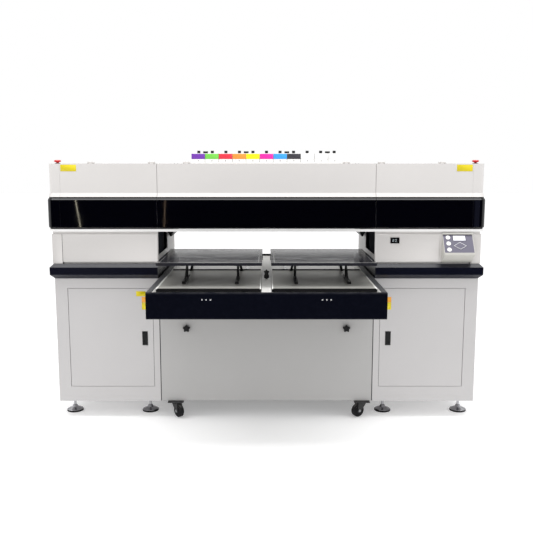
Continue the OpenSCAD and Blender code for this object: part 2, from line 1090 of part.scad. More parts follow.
// a fork whose wheel trails behind its kingpin; turn sets the way it points
module fork(x, y, turn) {
    top = cabinet_bottom - plate_thick - 0.5;
    gap = wheel_w / 2 + 1.5;
    color("black")
        translate([x, y, 0])
            rotate([0, 0, turn]) {
                difference() {
                    translate([0, 0, top - 12])
                        cylinder(r = 30, h = 12);
                    translate([0, 0, top - 10])
                        cylinder(r = kingpin_r + running, h = 11);
                }
                for (side = [-gap - cheek, gap])
                    translate([side, 0, 0])
                        hull() {
                            translate([0, trail, wheel_z])
                                rotate([0, 90, 0])
                                    cylinder(r = 13, h = cheek, $fn = 32);
                            translate([0, -26, top - 12])
                                cube([cheek, 58, 6]);
                        }
                translate([-gap - cheek, trail, wheel_z])
                    rotate([0, 90, 0])
                        cylinder(r = axle_r, h = 2 * (gap + cheek));
            }
}

module wheel(x, y, turn) {
    color("black")
        translate([x, y, 0])
            rotate([0, 0, turn])
                translate([-wheel_w / 2, trail, wheel_z])
                    rotate([0, 90, 0])
                        rotate_extrude()
                            polygon([
                                [axle_r + running, 0],
                                [wheel_r - 12, 0],
                                [wheel_r - 12, 4],
                                [wheel_r - 8, 4],
                                [wheel_r - 8, 0],
                                [wheel_r - 3, 0],
                                [wheel_r, 3],
                                [wheel_r, wheel_w - 3],
                                [wheel_r - 3, wheel_w],
                                [wheel_r - 8, wheel_w],
                                [wheel_r - 8, wheel_w - 4],
                                [wheel_r - 12, wheel_w - 4],
                                [wheel_r - 12, wheel_w],
                                [axle_r + running, wheel_w]
                            ]);
}

module front_left_fork() {
    fork(caster_x[0], caster_y[0], turn_front_left);
}

module front_right_fork() {
    fork(caster_x[1], caster_y[0], turn_front_right);
}

module rear_left_fork() {
    fork(caster_x[0], caster_y[1], turn_rear_left);
}

module rear_right_fork() {
    fork(caster_x[1], caster_y[1], turn_rear_right);
}

module front_left_wheel() {
    wheel(caster_x[0], caster_y[0], turn_front_left);
}

module front_right_wheel() {
    wheel(caster_x[1], caster_y[0], turn_front_right);
}

module rear_left_wheel() {
    wheel(caster_x[0], caster_y[1], turn_rear_left);
}

module rear_right_wheel() {
    wheel(caster_x[1], caster_y[1], turn_rear_right);
}

base_frame();
left_cabinet();
right_cabinet();
centre_panels();
counter_trims();
mid_housings();
gantry();
upper_pan();
top_cover();
end_covers();
band_ends();
bed_frame();
bed_covers();
deck();
y_rails();
levelling_feet();
caster_plates();
ink_rack();
ink_tanks();
tank_caps();
console_body();
console_plate();
displays();
capping_station();
power_inlet();
left_platen();
right_platen();
left_stand();
right_stand();
left_tray();
right_tray();
print_carriage();
print_heads();
left_hood();
centre_hood();
right_hood();
left_window();
centre_window();
right_window();
left_door();
right_door();
left_paddle();
right_paddle();
left_panel_knob();
right_panel_knob();
centre_knob();
left_estop();
right_estop();
start_key();
stop_key();
menu_key();
direction_pad();
front_left_fork();
front_right_fork();
rear_left_fork();
rear_right_fork();
front_left_wheel();
front_right_wheel();
rear_left_wheel();
rear_right_wheel();
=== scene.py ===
"""Looks of a twin-table flatbed UV printer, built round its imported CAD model.

Metres, +Z up. X runs along the beam, -Y is the operator's side, and the floor is z = 0.
"""

import logging
import math
from collections.abc import Callable, Iterable
from dataclasses import dataclass, field
from enum import Enum

import bpy
from mathutils import Matrix, Vector


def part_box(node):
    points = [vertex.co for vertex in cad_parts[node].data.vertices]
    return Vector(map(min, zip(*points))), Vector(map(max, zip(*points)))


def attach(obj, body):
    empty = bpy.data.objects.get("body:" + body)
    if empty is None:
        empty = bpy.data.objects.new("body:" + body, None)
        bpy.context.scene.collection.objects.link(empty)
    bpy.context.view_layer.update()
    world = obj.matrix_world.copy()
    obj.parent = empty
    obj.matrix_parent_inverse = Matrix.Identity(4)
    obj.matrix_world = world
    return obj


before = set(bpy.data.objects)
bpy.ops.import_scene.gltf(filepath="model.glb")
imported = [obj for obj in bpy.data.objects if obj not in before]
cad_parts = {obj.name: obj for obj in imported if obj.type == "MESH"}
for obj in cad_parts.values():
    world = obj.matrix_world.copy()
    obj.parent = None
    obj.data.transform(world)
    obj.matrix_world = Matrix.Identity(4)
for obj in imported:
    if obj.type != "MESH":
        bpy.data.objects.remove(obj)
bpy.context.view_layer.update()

log = logging.getLogger("flatbed_printer")

Colour = tuple[float, float, float]
Triple = tuple[float, float, float]
Picker = Callable[[Vector, Vector], bool]


def paint(code: str) -> Colour:
    """Turns a screen colour such as "E0DCDB" into linear red, green and blue."""
    parts = [int(code[i : i + 2], 16) / 255 for i in (0, 2, 4)]
    return tuple(p / 12.92 if p <= 0.04045 else ((p + 0.055) / 1.055) ** 2.4 for p in parts)


class Axis(Enum):
    """Direction that a round piece points, or that a brushed grain runs."""

    X = 0
    Y = 1
    Z = 2

    def turn(self) -> Triple:
        """Euler angles that lay a Z-pointing primitive along this axis."""
        return {0: (0.0, math.pi / 2, 0.0), 1: (math.pi / 2, 0.0, 0.0), 2: (0.0, 0.0, 0.0)}[self.value]


# ------------------------------------------------------------------ shader writing


class Value:
    """One socket of a material, usable in Python sums and products."""

    def __init__(self, shader: "Shader", socket: bpy.types.NodeSocket) -> None:
        """Keeps the socket and the shader it belongs to."""
        self.shader = shader
        self.socket = socket

    def _math(self, operation: str, first: "Value | float", second: "Value | float") -> "Value":
        """Adds a Math node.

        Args:
            operation: The Math node's operation.
            first: Its first value.
            second: Its second value.

        Returns:
            The node's result.
        """
        return self.shader.node("ShaderNodeMath", {"operation": operation}, {0: first, 1: second})

    def __add__(self, other: "Value | float") -> "Value":
        """Sum."""
        return self._math("ADD", self, other)

    __radd__ = __add__

    def __mul__(self, other: "Value | float") -> "Value":
        """Product."""
        return self._math("MULTIPLY", self, other)

    __rmul__ = __mul__

    def __sub__(self, other: "Value | float") -> "Value":
        """Difference."""
        return self._math("SUBTRACT", self, other)

    def __rsub__(self, other: "Value | float") -> "Value":
        """Difference from a number."""
        return self._math("SUBTRACT", other, self)

    def __gt__(self, limit: float) -> "Value":
        """1 where this is above the limit, else 0."""
        return self._math("GREATER_THAN", self, limit)

    def __lt__(self, limit: float) -> "Value":
        """1 where this is below the limit, else 0."""
        return self._math("LESS_THAN", self, limit)

    def clamped(self) -> "Value":
        """This value kept between 0 and 1."""
        return self.shader.node("ShaderNodeClamp", {}, {"Value": self})

    def ramp(self, start: float, end: float) -> "Value":
        """0 at start, 1 at end, smooth between and held outside."""
        kind = {"interpolation_type": "SMOOTHSTEP"}
        return self.shader.node("ShaderNodeMapRange", kind, {"Value": self, "From Min": start, "From Max": end})


class Shader:
    """A material under construction."""

    def __init__(self, name: str) -> None:
        """Starts an empty node material with that name."""
        self.material = bpy.data.materials.new(name)
        self.material.use_nodes = True
        self.tree = self.material.node_tree
        self.tree.nodes.clear()
        self.place = self.node("ShaderNodeTexCoord", {}, {}, "Object")

    def node(
        self, kind: str, settings: dict[str, object], sockets: dict[str | int, object], output: str | int = 0
    ) -> Value:
        """Adds a node, sets it up and links it.

        Args:
            kind: The node's type.
            settings: Properties of the node, set before its sockets.
            sockets: Values or links of its inputs, by name or number.
            output: The output that is wanted.

        Returns:
            That output.
        """
        made = self.tree.nodes.new(kind)
        for key, setting in settings.items():
            setattr(made, key, setting)
        for key, given in sockets.items():
            if isinstance(given, Value):
                self.tree.links.new(given.socket, made.inputs[key])
            else:
                made.inputs[key].default_value = given
        return Value(self, made.outputs[output])

    def noise(self, size: float, detail: float = 2.0, stretch: Triple = (1.0, 1.0, 1.0)) -> Value:
        """Cloudy pattern.

        Args:
            size: Width of its features.
            detail: Octaves of finer pattern.
            stretch: How many times finer it is along each axis.

        Returns:
            Its height, about 0 to 1.
        """
        mapped = self.node("ShaderNodeMapping", {}, {"Vector": self.place, "Scale": stretch})
        return self.node("ShaderNodeTexNoise", {}, {"Vector": mapped, "Scale": 1 / size, "Detail": detail})

    def cells(self, size: float, feature: str = "F1") -> Value:
        """Distance inside a cell pattern of that size."""
        return self.node("ShaderNodeTexVoronoi", {"feature": feature}, {"Vector": self.place, "Scale": 1 / size})

    def along(self, axis: Axis) -> Value:
        """Place along one axis, in metres."""
        return self.node("ShaderNodeSeparateXYZ", {}, {0: self.place}, axis.value)

    def mix(self, first: object, second: object, share: object) -> Value:
        """Blend of two colours.

        Args:
            first: Colour at share 0.
            second: Colour at share 1.
            share: Value or number from 0 to 1.

        Returns:
            The blended colour.
        """
        pair = [c if isinstance(c, Value) else (*c, 1.0) for c in (first, second)]
        return self.node("ShaderNodeMix", {"data_type": "RGBA"}, {0: share, 6: pair[0], 7: pair[1]}, 2)

    def rounded_normal(self, radius: float) -> Value:
        """Surface direction with the edges rounded over."""
        return self.node("ShaderNodeBevel", {"samples": 4}, {"Radius": radius})

    def edges(self, rounded: Value) -> Value:
        """0 on flats and 1 on sharp edges, from the rounded surface direction."""
        flat = self.node("ShaderNodeNewGeometry", {}, {}, "Normal")
        match = self.node("ShaderNodeVectorMath", {"operation": "DOT_PRODUCT"}, {0: rounded, 1: flat}, "Value")
        return (1.0 - match).ramp(0.01, 0.2)

    def level(self) -> Value:
        """1 on surfaces that face up, 0 on walls and undersides."""
        flat = self.node("ShaderNodeNewGeometry", {}, {}, "Normal")
        return self.node("ShaderNodeSeparateXYZ", {}, {0: flat}, "Z").ramp(0.5, 0.95)


# ------------------------------------------------------------------ finishes


@dataclass(frozen=True)
class Finish:
    """A plain moulded or painted surface; the other finishes change its relief, tint or gloss."""

    name: str
    colour: Colour
    roughness: float = 0.45
    metallic: float = 0.0
    specular: float = 0.5
    coat: float = 0.0
    coat_roughness: float = 0.08
    edge: float = 0.0012
    mottle: float = 0.05
    grain: float = 0.0012
    relief: float = 0.00004
    edge_wear_and_highlight: float = 0.3
    dust: float = 0.06
    slot: str = ""

    def rubbed_and_highlit_edge_colour(self) -> Colour:
        """Colour of the edges, polished by handling and lightened as painted edge highlight."""
        return tuple(0.75 * c + 0.12 for c in self.colour)

    def height(self, shader: Shader) -> Value:
        """Relief of the surface, 0 to 1."""
        return shader.noise(self.grain, 3.0)

    def tint(self, shader: Shader, height: Value) -> Value:
        """Colour before wear and dust.

        Args:
            shader: The material being built.
            height: The relief.

        Returns:
            The colour.
        """
        low = tuple(c * (1 - self.mottle) for c in self.colour)
        high = tuple(min(1.0, c * (1 + self.mottle)) for c in self.colour)
        return shader.mix(low, high, (shader.noise(0.35, 4.0) * 0.7 + height * 0.3).clamped())

    def gloss(self, shader: Shader, height: Value) -> Value:
        """Roughness, varied by handling.

        Args:
            shader: The material being built.
            height: The relief; not used here.

        Returns:
            The roughness.
        """
        return (self.roughness * 0.86 + shader.noise(0.12, 3.0) * (self.roughness * 0.28)).clamped()

    def material(self) -> bpy.types.Material:
        """Returns the finish's material, built the first time it is asked for."""
        known = bpy.data.materials.get(self.name)
        if known is not None:
            return known
        shader = Shader(self.name)
        height = self.height(shader)
        rounded = shader.rounded_normal(self.edge)
        colour = self.tint(shader, height)
        rough = self.gloss(shader, height)
        # Lightened edges: real handling wear, and also painted highlight along the rims.
        if self.edge_wear_and_highlight > 0:
            rubbed_and_highlit_edges = (shader.edges(rounded) * shader.noise(0.02, 4.0).ramp(0.35, 0.7) * self.edge_wear_and_highlight).clamped()
            colour = shader.mix(colour, self.rubbed_and_highlit_edge_colour(), rubbed_and_highlit_edges)
        if self.dust > 0:
            settled = (shader.level() * shader.noise(0.05, 5.0).ramp(0.3, 0.8) * self.dust).clamped()
            colour = shader.mix(colour, (0.62, 0.6, 0.57), settled)
            rough = (rough + settled * 0.3).clamped()
        bump = shader.node(
            "ShaderNodeBump", {}, {"Strength": 1.0, "Distance": self.relief, "Height": height, "Normal": rounded}
        )
        surface = shader.node(
            "ShaderNodeBsdfPrincipled",
            {},
            {
                "Base Color": colour,
                "Roughness": rough,
                "Metallic": self.metallic,
                "Specular IOR Level": self.specular,
                "Coat Weight": self.coat,
                "Coat Roughness": self.coat_roughness,
                "Normal": bump,
            },
        )
        out = shader.tree.nodes.new("ShaderNodeOutputMaterial")
        shader.tree.links.new(surface.socket, out.inputs["Surface"])
        return shader.material


@dataclass(frozen=True)
class PowderCoat(Finish):
    """Baked powder paint on sheet steel, with a fine orange-peel skin."""

    grain: float = 0.0016
    relief: float = 0.00006

    def height(self, shader: Shader) -> Value:
        """Orange peel: low domes with finer speckle on them."""
        domes = shader.cells(self.grain * 1.8, "SMOOTH_F1")
        return (shader.noise(self.grain, 2.0) * 0.6 + domes * 0.5).clamped()


@dataclass(frozen=True)
class CrackleCoat(Finish):
    """Coarse textured paint, as on machine castings."""

    grain: float = 0.0035
    relief: float = 0.00025

    def height(self, shader: Shader) -> Value:
        """Raised beads with channels between them."""
        return (shader.cells(self.grain) * 0.9 + shader.noise(self.grain * 0.5, 2.0) * 0.3).clamped()

    def tint(self, shader: Shader, height: Value) -> Value:
        """Colour with painted highlight on the bead tops.

        Args:
            shader: The material being built.
            height: The relief.

        Returns:
            The colour.
        """
        # Lighter bead tops: painted highlight where the raised beads would catch light.
        light = tuple(c * (1 + 6 * self.mottle) + 0.0015 for c in self.colour)
        return shader.mix(self.colour, light, (height * shader.noise(0.015, 3.0).ramp(0.4, 0.75)).clamped())


@dataclass(frozen=True)
class GlossSheet(Finish):
    """Glossy acrylic or anodised plate with wiping marks."""

    edge: float = 0.0008
    mottle: float = 0.1
    relief: float = 0.00001
    edge_wear_and_highlight: float = 0.15

    def height(self, shader: Shader) -> Value:
        """Slow waviness of a rolled sheet."""
        return shader.noise(0.09, 2.0)

    def gloss(self, shader: Shader, height: Value) -> Value:
        """Roughness with smears left by a cloth.

        Args:
            shader: The material being built.
            height: The relief; not used here.

        Returns:
            The roughness.
        """
        smear = shader.noise(0.05, 4.0, (0.35, 1.0, 1.0)).ramp(0.45, 0.8)
        return (self.roughness + smear * (self.roughness * 0.9)).clamped()


@dataclass(frozen=True)
class BrushedMetal(Finish):
    """Bare metal with its grain along one axis."""

    metallic: float = 1.0
    along: Axis = Axis.X
    grain: float = 0.0009
    relief: float = 0.00001
    edge: float = 0.0006

    def height(self, shader: Shader) -> Value:
        """Long fine scratches."""
        fine = [1.0, 1.0, 1.0]
        fine[self.along.value] = 0.015
        return shader.noise(self.grain, 3.0, tuple(fine))

    def gloss(self, shader: Shader, height: Value) -> Value:
        """Roughness that follows the scratches and the handling marks.

        Args:
            shader: The material being built.
            height: The relief.

        Returns:
            The roughness.
        """
        marks = shader.noise(0.07, 4.0).ramp(0.4, 0.8)
        return (self.roughness * 0.8 + height * (self.roughness * 0.35) + marks * 0.08).clamped()


@dataclass(frozen=True)
class TraySheet(BrushedMetal):
    """Brushed tray whose front and rear bars are painted black."""

    black_ends: tuple[float, float] = (-0.6285, 0.0285)

    def tint(self, shader: Shader, height: Value) -> Value:
        """Metal between the bars, black paint on them.

        Args:
            shader: The material being built.
            height: The relief.

        Returns:
            The colour.
        """
        metal = super().tint(shader, height)
        y = shader.along(Axis.Y)
        bars = (y < self.black_ends[0]) + (y > self.black_ends[1])
        return shader.mix(metal, paint("0B0B10"), bars.clamped())


@dataclass(frozen=True)
class FootPlating(BrushedMetal):
    """Bright plating over a black moulded foot ring."""

    ring_top: float = 0.0095

    def tint(self, shader: Shader, height: Value) -> Value:
        """Plating above the ring, black on it.

        Args:
            shader: The material being built.
            height: The relief.

        Returns:
            The colour.
        """
        return shader.mix(super().tint(shader, height), paint("08080A"), shader.along(Axis.Z) < self.ring_top)


@dataclass(frozen=True)
class ZincPlate(Finish):
    """Galvanised steel with its spangle."""

    metallic: float = 0.9
    roughness: float = 0.42

    def tint(self, shader: Shader, height: Value) -> Value:
        """Grey that changes from crystal to crystal.

        Args:
            shader: The material being built.
            height: The relief; not used here.

        Returns:
            The colour.
        """
        dark = tuple(c * 0.72 for c in self.colour)
        return shader.mix(dark, self.colour, shader.cells(0.012).ramp(0.1, 0.7))


@dataclass(frozen=True)
class MouldedRubber(Finish):
    """Black rubber with a dull bloom."""

    roughness: float = 0.75
    specular: float = 0.3
    grain: float = 0.003
    relief: float = 0.00012
    edge_wear_and_highlight: float = 0.35
    dust: float = 0.25

    def rubbed_and_highlit_edge_colour(self) -> Colour:
        """Grey of scuffed rubber edges, which also paints a light rim as edge highlight."""
        return (0.08, 0.078, 0.075)


@dataclass(frozen=True)
class PrintedPlate(Finish):
    """A blank printed plate or sticker, slightly faded."""

    roughness: float = 0.32
    mottle: float = 0.06
    relief: float = 0.00002
    edge_wear_and_highlight: float = 0.1
    dust: float = 0.0


@dataclass(frozen=True)
class LitFace(Finish):
    """A display face that glows a little."""

    glow: float = 0.4

    def material(self) -> bpy.types.Material:
        """Returns the finish's material with its glow."""
        made = super().material()
        for node in made.node_tree.nodes:
            if node.type == "BSDF_PRINCIPLED":
                node.inputs["Emission Color"].default_value = (*self.colour, 1.0)
                node.inputs["Emission Strength"].default_value = self.glow
        return made


LIGHT = PowderCoat("light_panel_coat", paint("CFCCCA"), 0.42, slot="light_panel")
# Upper pan: a lighter copy of the light panel paint, as painted highlight for its lit top edge.
PAN_LIT = PowderCoat("pan_coat_lit", paint("E9E8E7"), 0.36, slot="light_panel")
LEDGE = PowderCoat("mid_panel_coat", paint("CAC7C5"), 0.4, slot="light_panel")
CABINET = PowderCoat("cabinet_coat", paint("BDBBBB"), 0.42, slot="cabinet_panel")
CENTRE = PowderCoat("centre_panel_coat", paint("ADACAB"), 0.45, slot="centre_grey")
DECK = PowderCoat("deck_coat", paint("E2E1DE"), 0.35, slot="deck_light")
CONSOLE = PowderCoat("console_coat", paint("C4C2BC"), 0.42, slot="console_light")
NAVY = PowderCoat("counter_coat", paint("07091A"), 0.26, specular=0.4, edge_wear_and_highlight=0.3, dust=0.02, slot="counter_navy")
STEEL_FRAME = PowderCoat("frame_coat", paint("35373C"), 0.4, specular=0.35, slot="frame_steel")
GANTRY = PowderCoat("gantry_coat", paint("55585F"), 0.4, slot="gantry_grey")
CARRIAGE = PowderCoat("carriage_coat", paint("1C1D20"), 0.4, slot="carriage_dark")
STATION = PowderCoat("station_coat", paint("8A8C90"), 0.4, slot="station_grey")
FORK = PowderCoat("fork_coat", paint("141416"), 0.4, slot="fork_black")
STAND = PowderCoat("stand_coat", paint("0C0C0E"), 0.38, specular=0.3, slot="stand_black")
BED = CrackleCoat("bed_coat", paint("030512"), 0.5, specular=0.06, slot="bed_black")
BAND = GlossSheet("band_acrylic", paint("020206"), 0.025, specular=0.35, dust=0.02, slot="band_black")
PLATEN = GlossSheet("platen_anodised", paint("26262C"), 0.09, specular=0.4, edge_wear_and_highlight=0.2, slot="platen_black")
TRAY = TraySheet("tray_brushed", paint("C9C8C2"), 0.42, metallic=0.55, slot="tray_metal")
RAIL = BrushedMetal("rail_ground", paint("C8C8C8"), 0.25, along=Axis.Y, slot="rail_steel")
HEAD = BrushedMetal("head_plate", paint("C0C0BE"), 0.3, slot="head_steel")
CHROME = FootPlating("foot_plating", paint("A9A9AD"), 0.14, along=Axis.Z, slot="foot_chrome")
ZINC = ZincPlate("zinc_plate", paint("A8AAAC"), slot="plate_zinc")
TANK = Finish("tank_polythene", paint("F4F4F2"), 0.38, slot="tank_white")
RACK = PowderCoat("rack_coat", paint("EEEEEC"), 0.4, slot="rack_white")
CAP = Finish("cap_plastic", paint("101012"), 0.4, slot="cap_black")
OVERLAY = Finish("console_overlay", paint("625F70"), 0.35, grain=0.0008, slot="console_grey")
DISPLAY = GlossSheet("display_bezel", paint("0A0A0C"), 0.15, slot="display_dark")
INLET = Finish("inlet_plastic", paint("161618"), 0.4, slot="inlet_black")
HANDLE = Finish("handle_plastic", paint("0A0A0C"), 0.35, slot="handle_black")
KNOB = Finish("knob_plastic", paint("0B0B0D"), 0.38, slot="knob_black")
STOP = Finish("stop_plastic", paint("C8201E"), 0.28, coat=0.3, slot="stop_red")
KEY = Finish("key_plastic", paint("F4F3F2"), 0.3, coat=0.2, slot="key_white")
PAD = Finish("pad_plastic", paint("625F70"), 0.32, slot="pad_grey")
TYRE = MouldedRubber("caster_tyre", paint("131315"), slot="wheel_black")
RUBBER = MouldedRubber("foot_rubber", paint("151516"), slot="foot_rubber")
WHITE_LINE = PrintedPlate("white_line", paint("FBFAFA"), slot="key_white")
LCD = LitFace("lcd_face", paint("F0F0F8"), 0.2, glow=0.15, mottle=0.02, slot="display_dark")
DIGITS = LitFace("meter_digits", paint("B9C4C9"), 0.3, glow=0.35, slot="display_dark")
PLATE_YELLOW = PrintedPlate("blank_plate_yellow", paint("D9C616"), slot="label_yellow")
# Orange copy of the yellow plate: painted shade on the upper part of the door labels.
PLATE_SHADED_YELLOW = PrintedPlate("blank_plate_shaded_yellow", paint("E29A24"), slot="label_yellow")

NODE_FINISHES: dict[Finish, tuple[str, ...]] = {
    LIGHT: ("mid_housings", "top_cover", "end_covers", "left_hood", "centre_hood", "right_hood"),
    PAN_LIT: ("upper_pan",),
    CABINET: ("left_cabinet", "right_cabinet", "left_door", "right_door"),
    CENTRE: ("centre_panels",),
    NAVY: ("counter_trims",),
    STEEL_FRAME: ("base_frame", "bed_frame"),
    BED: ("bed_covers",),
    DECK: ("deck",),
    RAIL: ("y_rails",),
    GANTRY: ("gantry",),
    CARRIAGE: ("print_carriage",),
    HEAD: ("print_heads",),
    STATION: ("capping_station",),
    BAND: ("band_ends", "left_window", "centre_window", "right_window"),
    PLATEN: ("left_platen", "right_platen"),
    STAND: ("left_stand", "right_stand"),
    TRAY: ("left_tray", "right_tray"),
    CHROME: ("levelling_feet",),
    RACK: ("ink_rack",),
    TANK: ("ink_tanks",),
    CAP: ("tank_caps",),
    CONSOLE: ("console_body",),
    OVERLAY: ("console_plate",),
    DISPLAY: ("displays",),
    INLET: ("power_inlet",),
    HANDLE: ("left_paddle", "right_paddle"),
    KNOB: ("left_panel_knob", "right_panel_knob", "centre_knob"),
    STOP: ("left_estop", "right_estop"),
    KEY: ("start_key", "stop_key", "menu_key"),
    PAD: ("direction_pad",),
    FORK: ("caster_plates",) + tuple(f"{end}_{side}_fork" for end in ("front", "rear") for side in ("left", "right")),
    TYRE: tuple(f"{end}_{side}_wheel" for end in ("front", "rear") for side in ("left", "right")),
}


# ------------------------------------------------------------------ modelling


class Bench:
    """Starts pieces, shapes them in edit mode and hands them over finished."""

    @staticmethod
    def clear() -> None:
        """Goes to object mode with nothing selected."""
        if bpy.context.mode != "OBJECT":
            bpy.ops.object.mode_set(mode="OBJECT")
        bpy.ops.object.select_all(action="DESELECT")

    @staticmethod
    def hold(piece: bpy.types.Object) -> None:
        """Selects one piece and makes it active."""
        Bench.clear()
        piece.select_set(True)
        bpy.context.view_layer.objects.active = piece

    @staticmethod
    def settle(name: str) -> bpy.types.Object:
        """Names the new primitive and puts its place into its mesh.

        Args:
            name: Name of the piece.

        Returns:
            The piece.
        """
        piece = bpy.context.object
        piece.name = piece.data.name = name
        bpy.ops.object.transform_apply(location=True, rotation=True, scale=True)
        return piece

    @staticmethod
    def block(name: str, low: Iterable[float], high: Iterable[float]) -> bpy.types.Object:
        """A block between two corners.

        Args:
            name: Name of the piece.
            low: Lowest corner.
            high: Highest corner.

        Returns:
            The piece.
        """
        Bench.clear()
        a, b = Vector(low), Vector(high)
        bpy.ops.mesh.primitive_cube_add(size=1, location=(a + b) / 2, scale=b - a)
        return Bench.settle(name)

    @staticmethod
    def round_bar(
        name: str, centre: Triple, radius: float, length: float, axis: Axis = Axis.Z, sides: int = 32
    ) -> bpy.types.Object:
        """A round bar or disc.

        Args:
            name: Name of the piece.
            centre: Its middle.
            radius: Its radius.
            length: Its length along the axis.
            axis: The way it points.
            sides: Facets round it.

        Returns:
            The piece.
        """
        Bench.clear()
        bpy.ops.mesh.primitive_cylinder_add(
            vertices=sides, radius=radius, depth=length, location=centre, rotation=axis.turn()
        )
        return Bench.settle(name)

    @staticmethod
    def edit_faces(piece: bpy.types.Object, wanted: Picker) -> None:
        """Opens a piece in edit mode with only the wanted faces selected.

        Args:
            piece: The piece.
            wanted: Says from a face's centre and direction whether it is wanted.
        """
        Bench.hold(piece)
        bpy.context.tool_settings.mesh_select_mode = (False, False, True)
        bpy.ops.object.mode_set(mode="EDIT")
        bpy.ops.mesh.select_all(action="DESELECT")
        bpy.ops.object.mode_set(mode="OBJECT")
        for face in piece.data.polygons:
            face.select = wanted(face.center, face.normal)
        bpy.ops.object.mode_set(mode="EDIT")

    @staticmethod
    def press(piece: bpy.types.Object, wanted: Picker, border: float, depth: float) -> bpy.types.Object:
        """Insets faces by a border and then raises or sinks them.

        Args:
            piece: The piece.
            wanted: Says which faces.
            border: Width of the border left round them.
            depth: Height gained, below 0 to sink them.

        Returns:
            The piece.
        """
        Bench.edit_faces(piece, wanted)
        bpy.ops.mesh.inset(thickness=border, depth=0.0)
        if depth:
            bpy.ops.mesh.inset(thickness=abs(depth) * 0.3, depth=depth)
        bpy.ops.object.mode_set(mode="OBJECT")
        return piece

    @staticmethod
    def bore(piece: bpy.types.Object, wall: float) -> bpy.types.Object:
        """Opens a flat piece into a ring, through its top and bottom faces.

        Args:
            piece: The piece.
            wall: Width of the ring left standing.

        Returns:
            The piece.
        """
        Bench.edit_faces(piece, lambda centre, normal: abs(normal.z) > 0.9)
        bpy.ops.mesh.inset(thickness=wall, depth=0.0)
        bpy.ops.mesh.bridge_edge_loops()
        bpy.ops.object.mode_set(mode="OBJECT")
        return piece

    @staticmethod
    def pull(piece: bpy.types.Object, wanted: Picker, move: Triple) -> bpy.types.Object:
        """Extrudes faces by a distance.

        Args:
            piece: The piece.
            wanted: Says which faces.
            move: The way they go.

        Returns:
            The piece.
        """
        Bench.edit_faces(piece, wanted)
        bpy.ops.mesh.extrude_region_move(TRANSFORM_OT_translate={"value": move})
        bpy.ops.object.mode_set(mode="OBJECT")
        return piece

    @staticmethod
    def soften(piece: bpy.types.Object, width: float, steps: int = 2) -> bpy.types.Object:
        """Rounds a piece's sharp edges and shades it.

        Args:
            piece: The piece.
            width: Width of the rounding.
            steps: Facets across it.

        Returns:
            The piece.
        """
        Bench.hold(piece)
        rounding = piece.modifiers.new("rounding", "BEVEL")
        rounding.width = width
        rounding.segments = steps
        rounding.limit_method = "ANGLE"
        rounding.angle_limit = math.radians(35)
        rounding.harden_normals = True
        bpy.ops.object.modifier_apply(modifier=rounding.name)
        bpy.ops.object.shade_smooth_by_angle(angle=math.radians(32))
        return piece

    @staticmethod
    def place(piece: bpy.types.Object, matrix: Matrix) -> bpy.types.Object:
        """Moves a piece and puts the move into its mesh.

        Args:
            piece: The piece.
            matrix: The move.

        Returns:
            The piece.
        """
        Bench.hold(piece)
        piece.matrix_world = matrix @ piece.matrix_world
        bpy.ops.object.transform_apply(location=True, rotation=True, scale=True)
        if matrix.determinant() < 0:
            bpy.ops.object.mode_set(mode="EDIT")
            bpy.ops.mesh.select_all(action="SELECT")
            bpy.ops.mesh.normals_make_consistent(inside=False)
            bpy.ops.object.mode_set(mode="OBJECT")
        return piece

    @staticmethod
    def twin(piece: bpy.types.Object, name: str, matrix: Matrix) -> bpy.types.Object:
        """Copies a piece with its own mesh and moves the copy.

        Args:
            piece: The piece to copy.
            name: Name of the copy.
            matrix: The move.

        Returns:
            The copy.
        """
        made = piece.copy()
        made.data = piece.data.copy()
        made.parent = None
        made.name = made.data.name = name
        bpy.context.scene.collection.objects.link(made)
        return Bench.place(made, matrix)

    @staticmethod
    def weld(name: str, pieces: list[bpy.types.Object]) -> bpy.types.Object:
        """Joins pieces of one finish into one object.

        Args:
            name: Name of the joined piece.
            pieces: What is joined.

        Returns:
            The joined piece.
        """
        Bench.clear()
        for piece in pieces:
            piece.select_set(True)
        bpy.context.view_layer.objects.active = pieces[0]
        if len(pieces) > 1:
            bpy.ops.object.join()
        pieces[0].name = pieces[0].data.name = name
        return pieces[0]

    @staticmethod
    def deliver(piece: bpy.types.Object, finish: Finish, body: str) -> bpy.types.Object:
        """Dresses a finished piece and lets it ride on its body.

        Args:
            piece: The piece.
            finish: Its finish.
            body: The CAD body it moves with.

        Returns:
            The piece.
        """
        piece.data.materials.clear()
        piece.data.materials.append(finish.material())
        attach(piece, body)
        log.info("%s rides on %s in %s", piece.name, body, finish.name)
        return piece


def facing(axis: Axis, sign: int) -> Picker:
    """Picks the faces that look one way along an axis."""
    return lambda centre, normal: normal[axis.value] * sign > 0.9


def shift(x: float = 0.0, y: float = 0.0, z: float = 0.0) -> Matrix:
    """A plain move."""
    return Matrix.Translation((x, y, z))


MIRROR = Matrix.Scale(-1, 4, (1, 0, 0))


class Side(Enum):
    """Left or right half of the machine, with the sign of its X."""

    LEFT = -1
    RIGHT = 1

    @property
    def word(self) -> str:
        """Name used in bodies and nodes."""
        return self.name.lower()

    def out(self) -> Matrix:
        """Turns a right-hand place into this side's."""
        return MIRROR if self is Side.LEFT else Matrix.Identity(4)


# ------------------------------------------------------------------ sub-assemblies


@dataclass
class CadDressing:
    """Finishes of the CAD nodes that are shown as they are."""

    finishes: dict[Finish, tuple[str, ...]] = field(default_factory=lambda: NODE_FINISHES)

    def build(self) -> None:
        """Puts each node's finish into its material slots."""
        for finish, nodes in self.finishes.items():
            for node in nodes:
                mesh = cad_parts[node].data
                mesh.materials.clear()
                mesh.materials.append(finish.material())
            log.info("%s on %d nodes", finish.name, len(nodes))


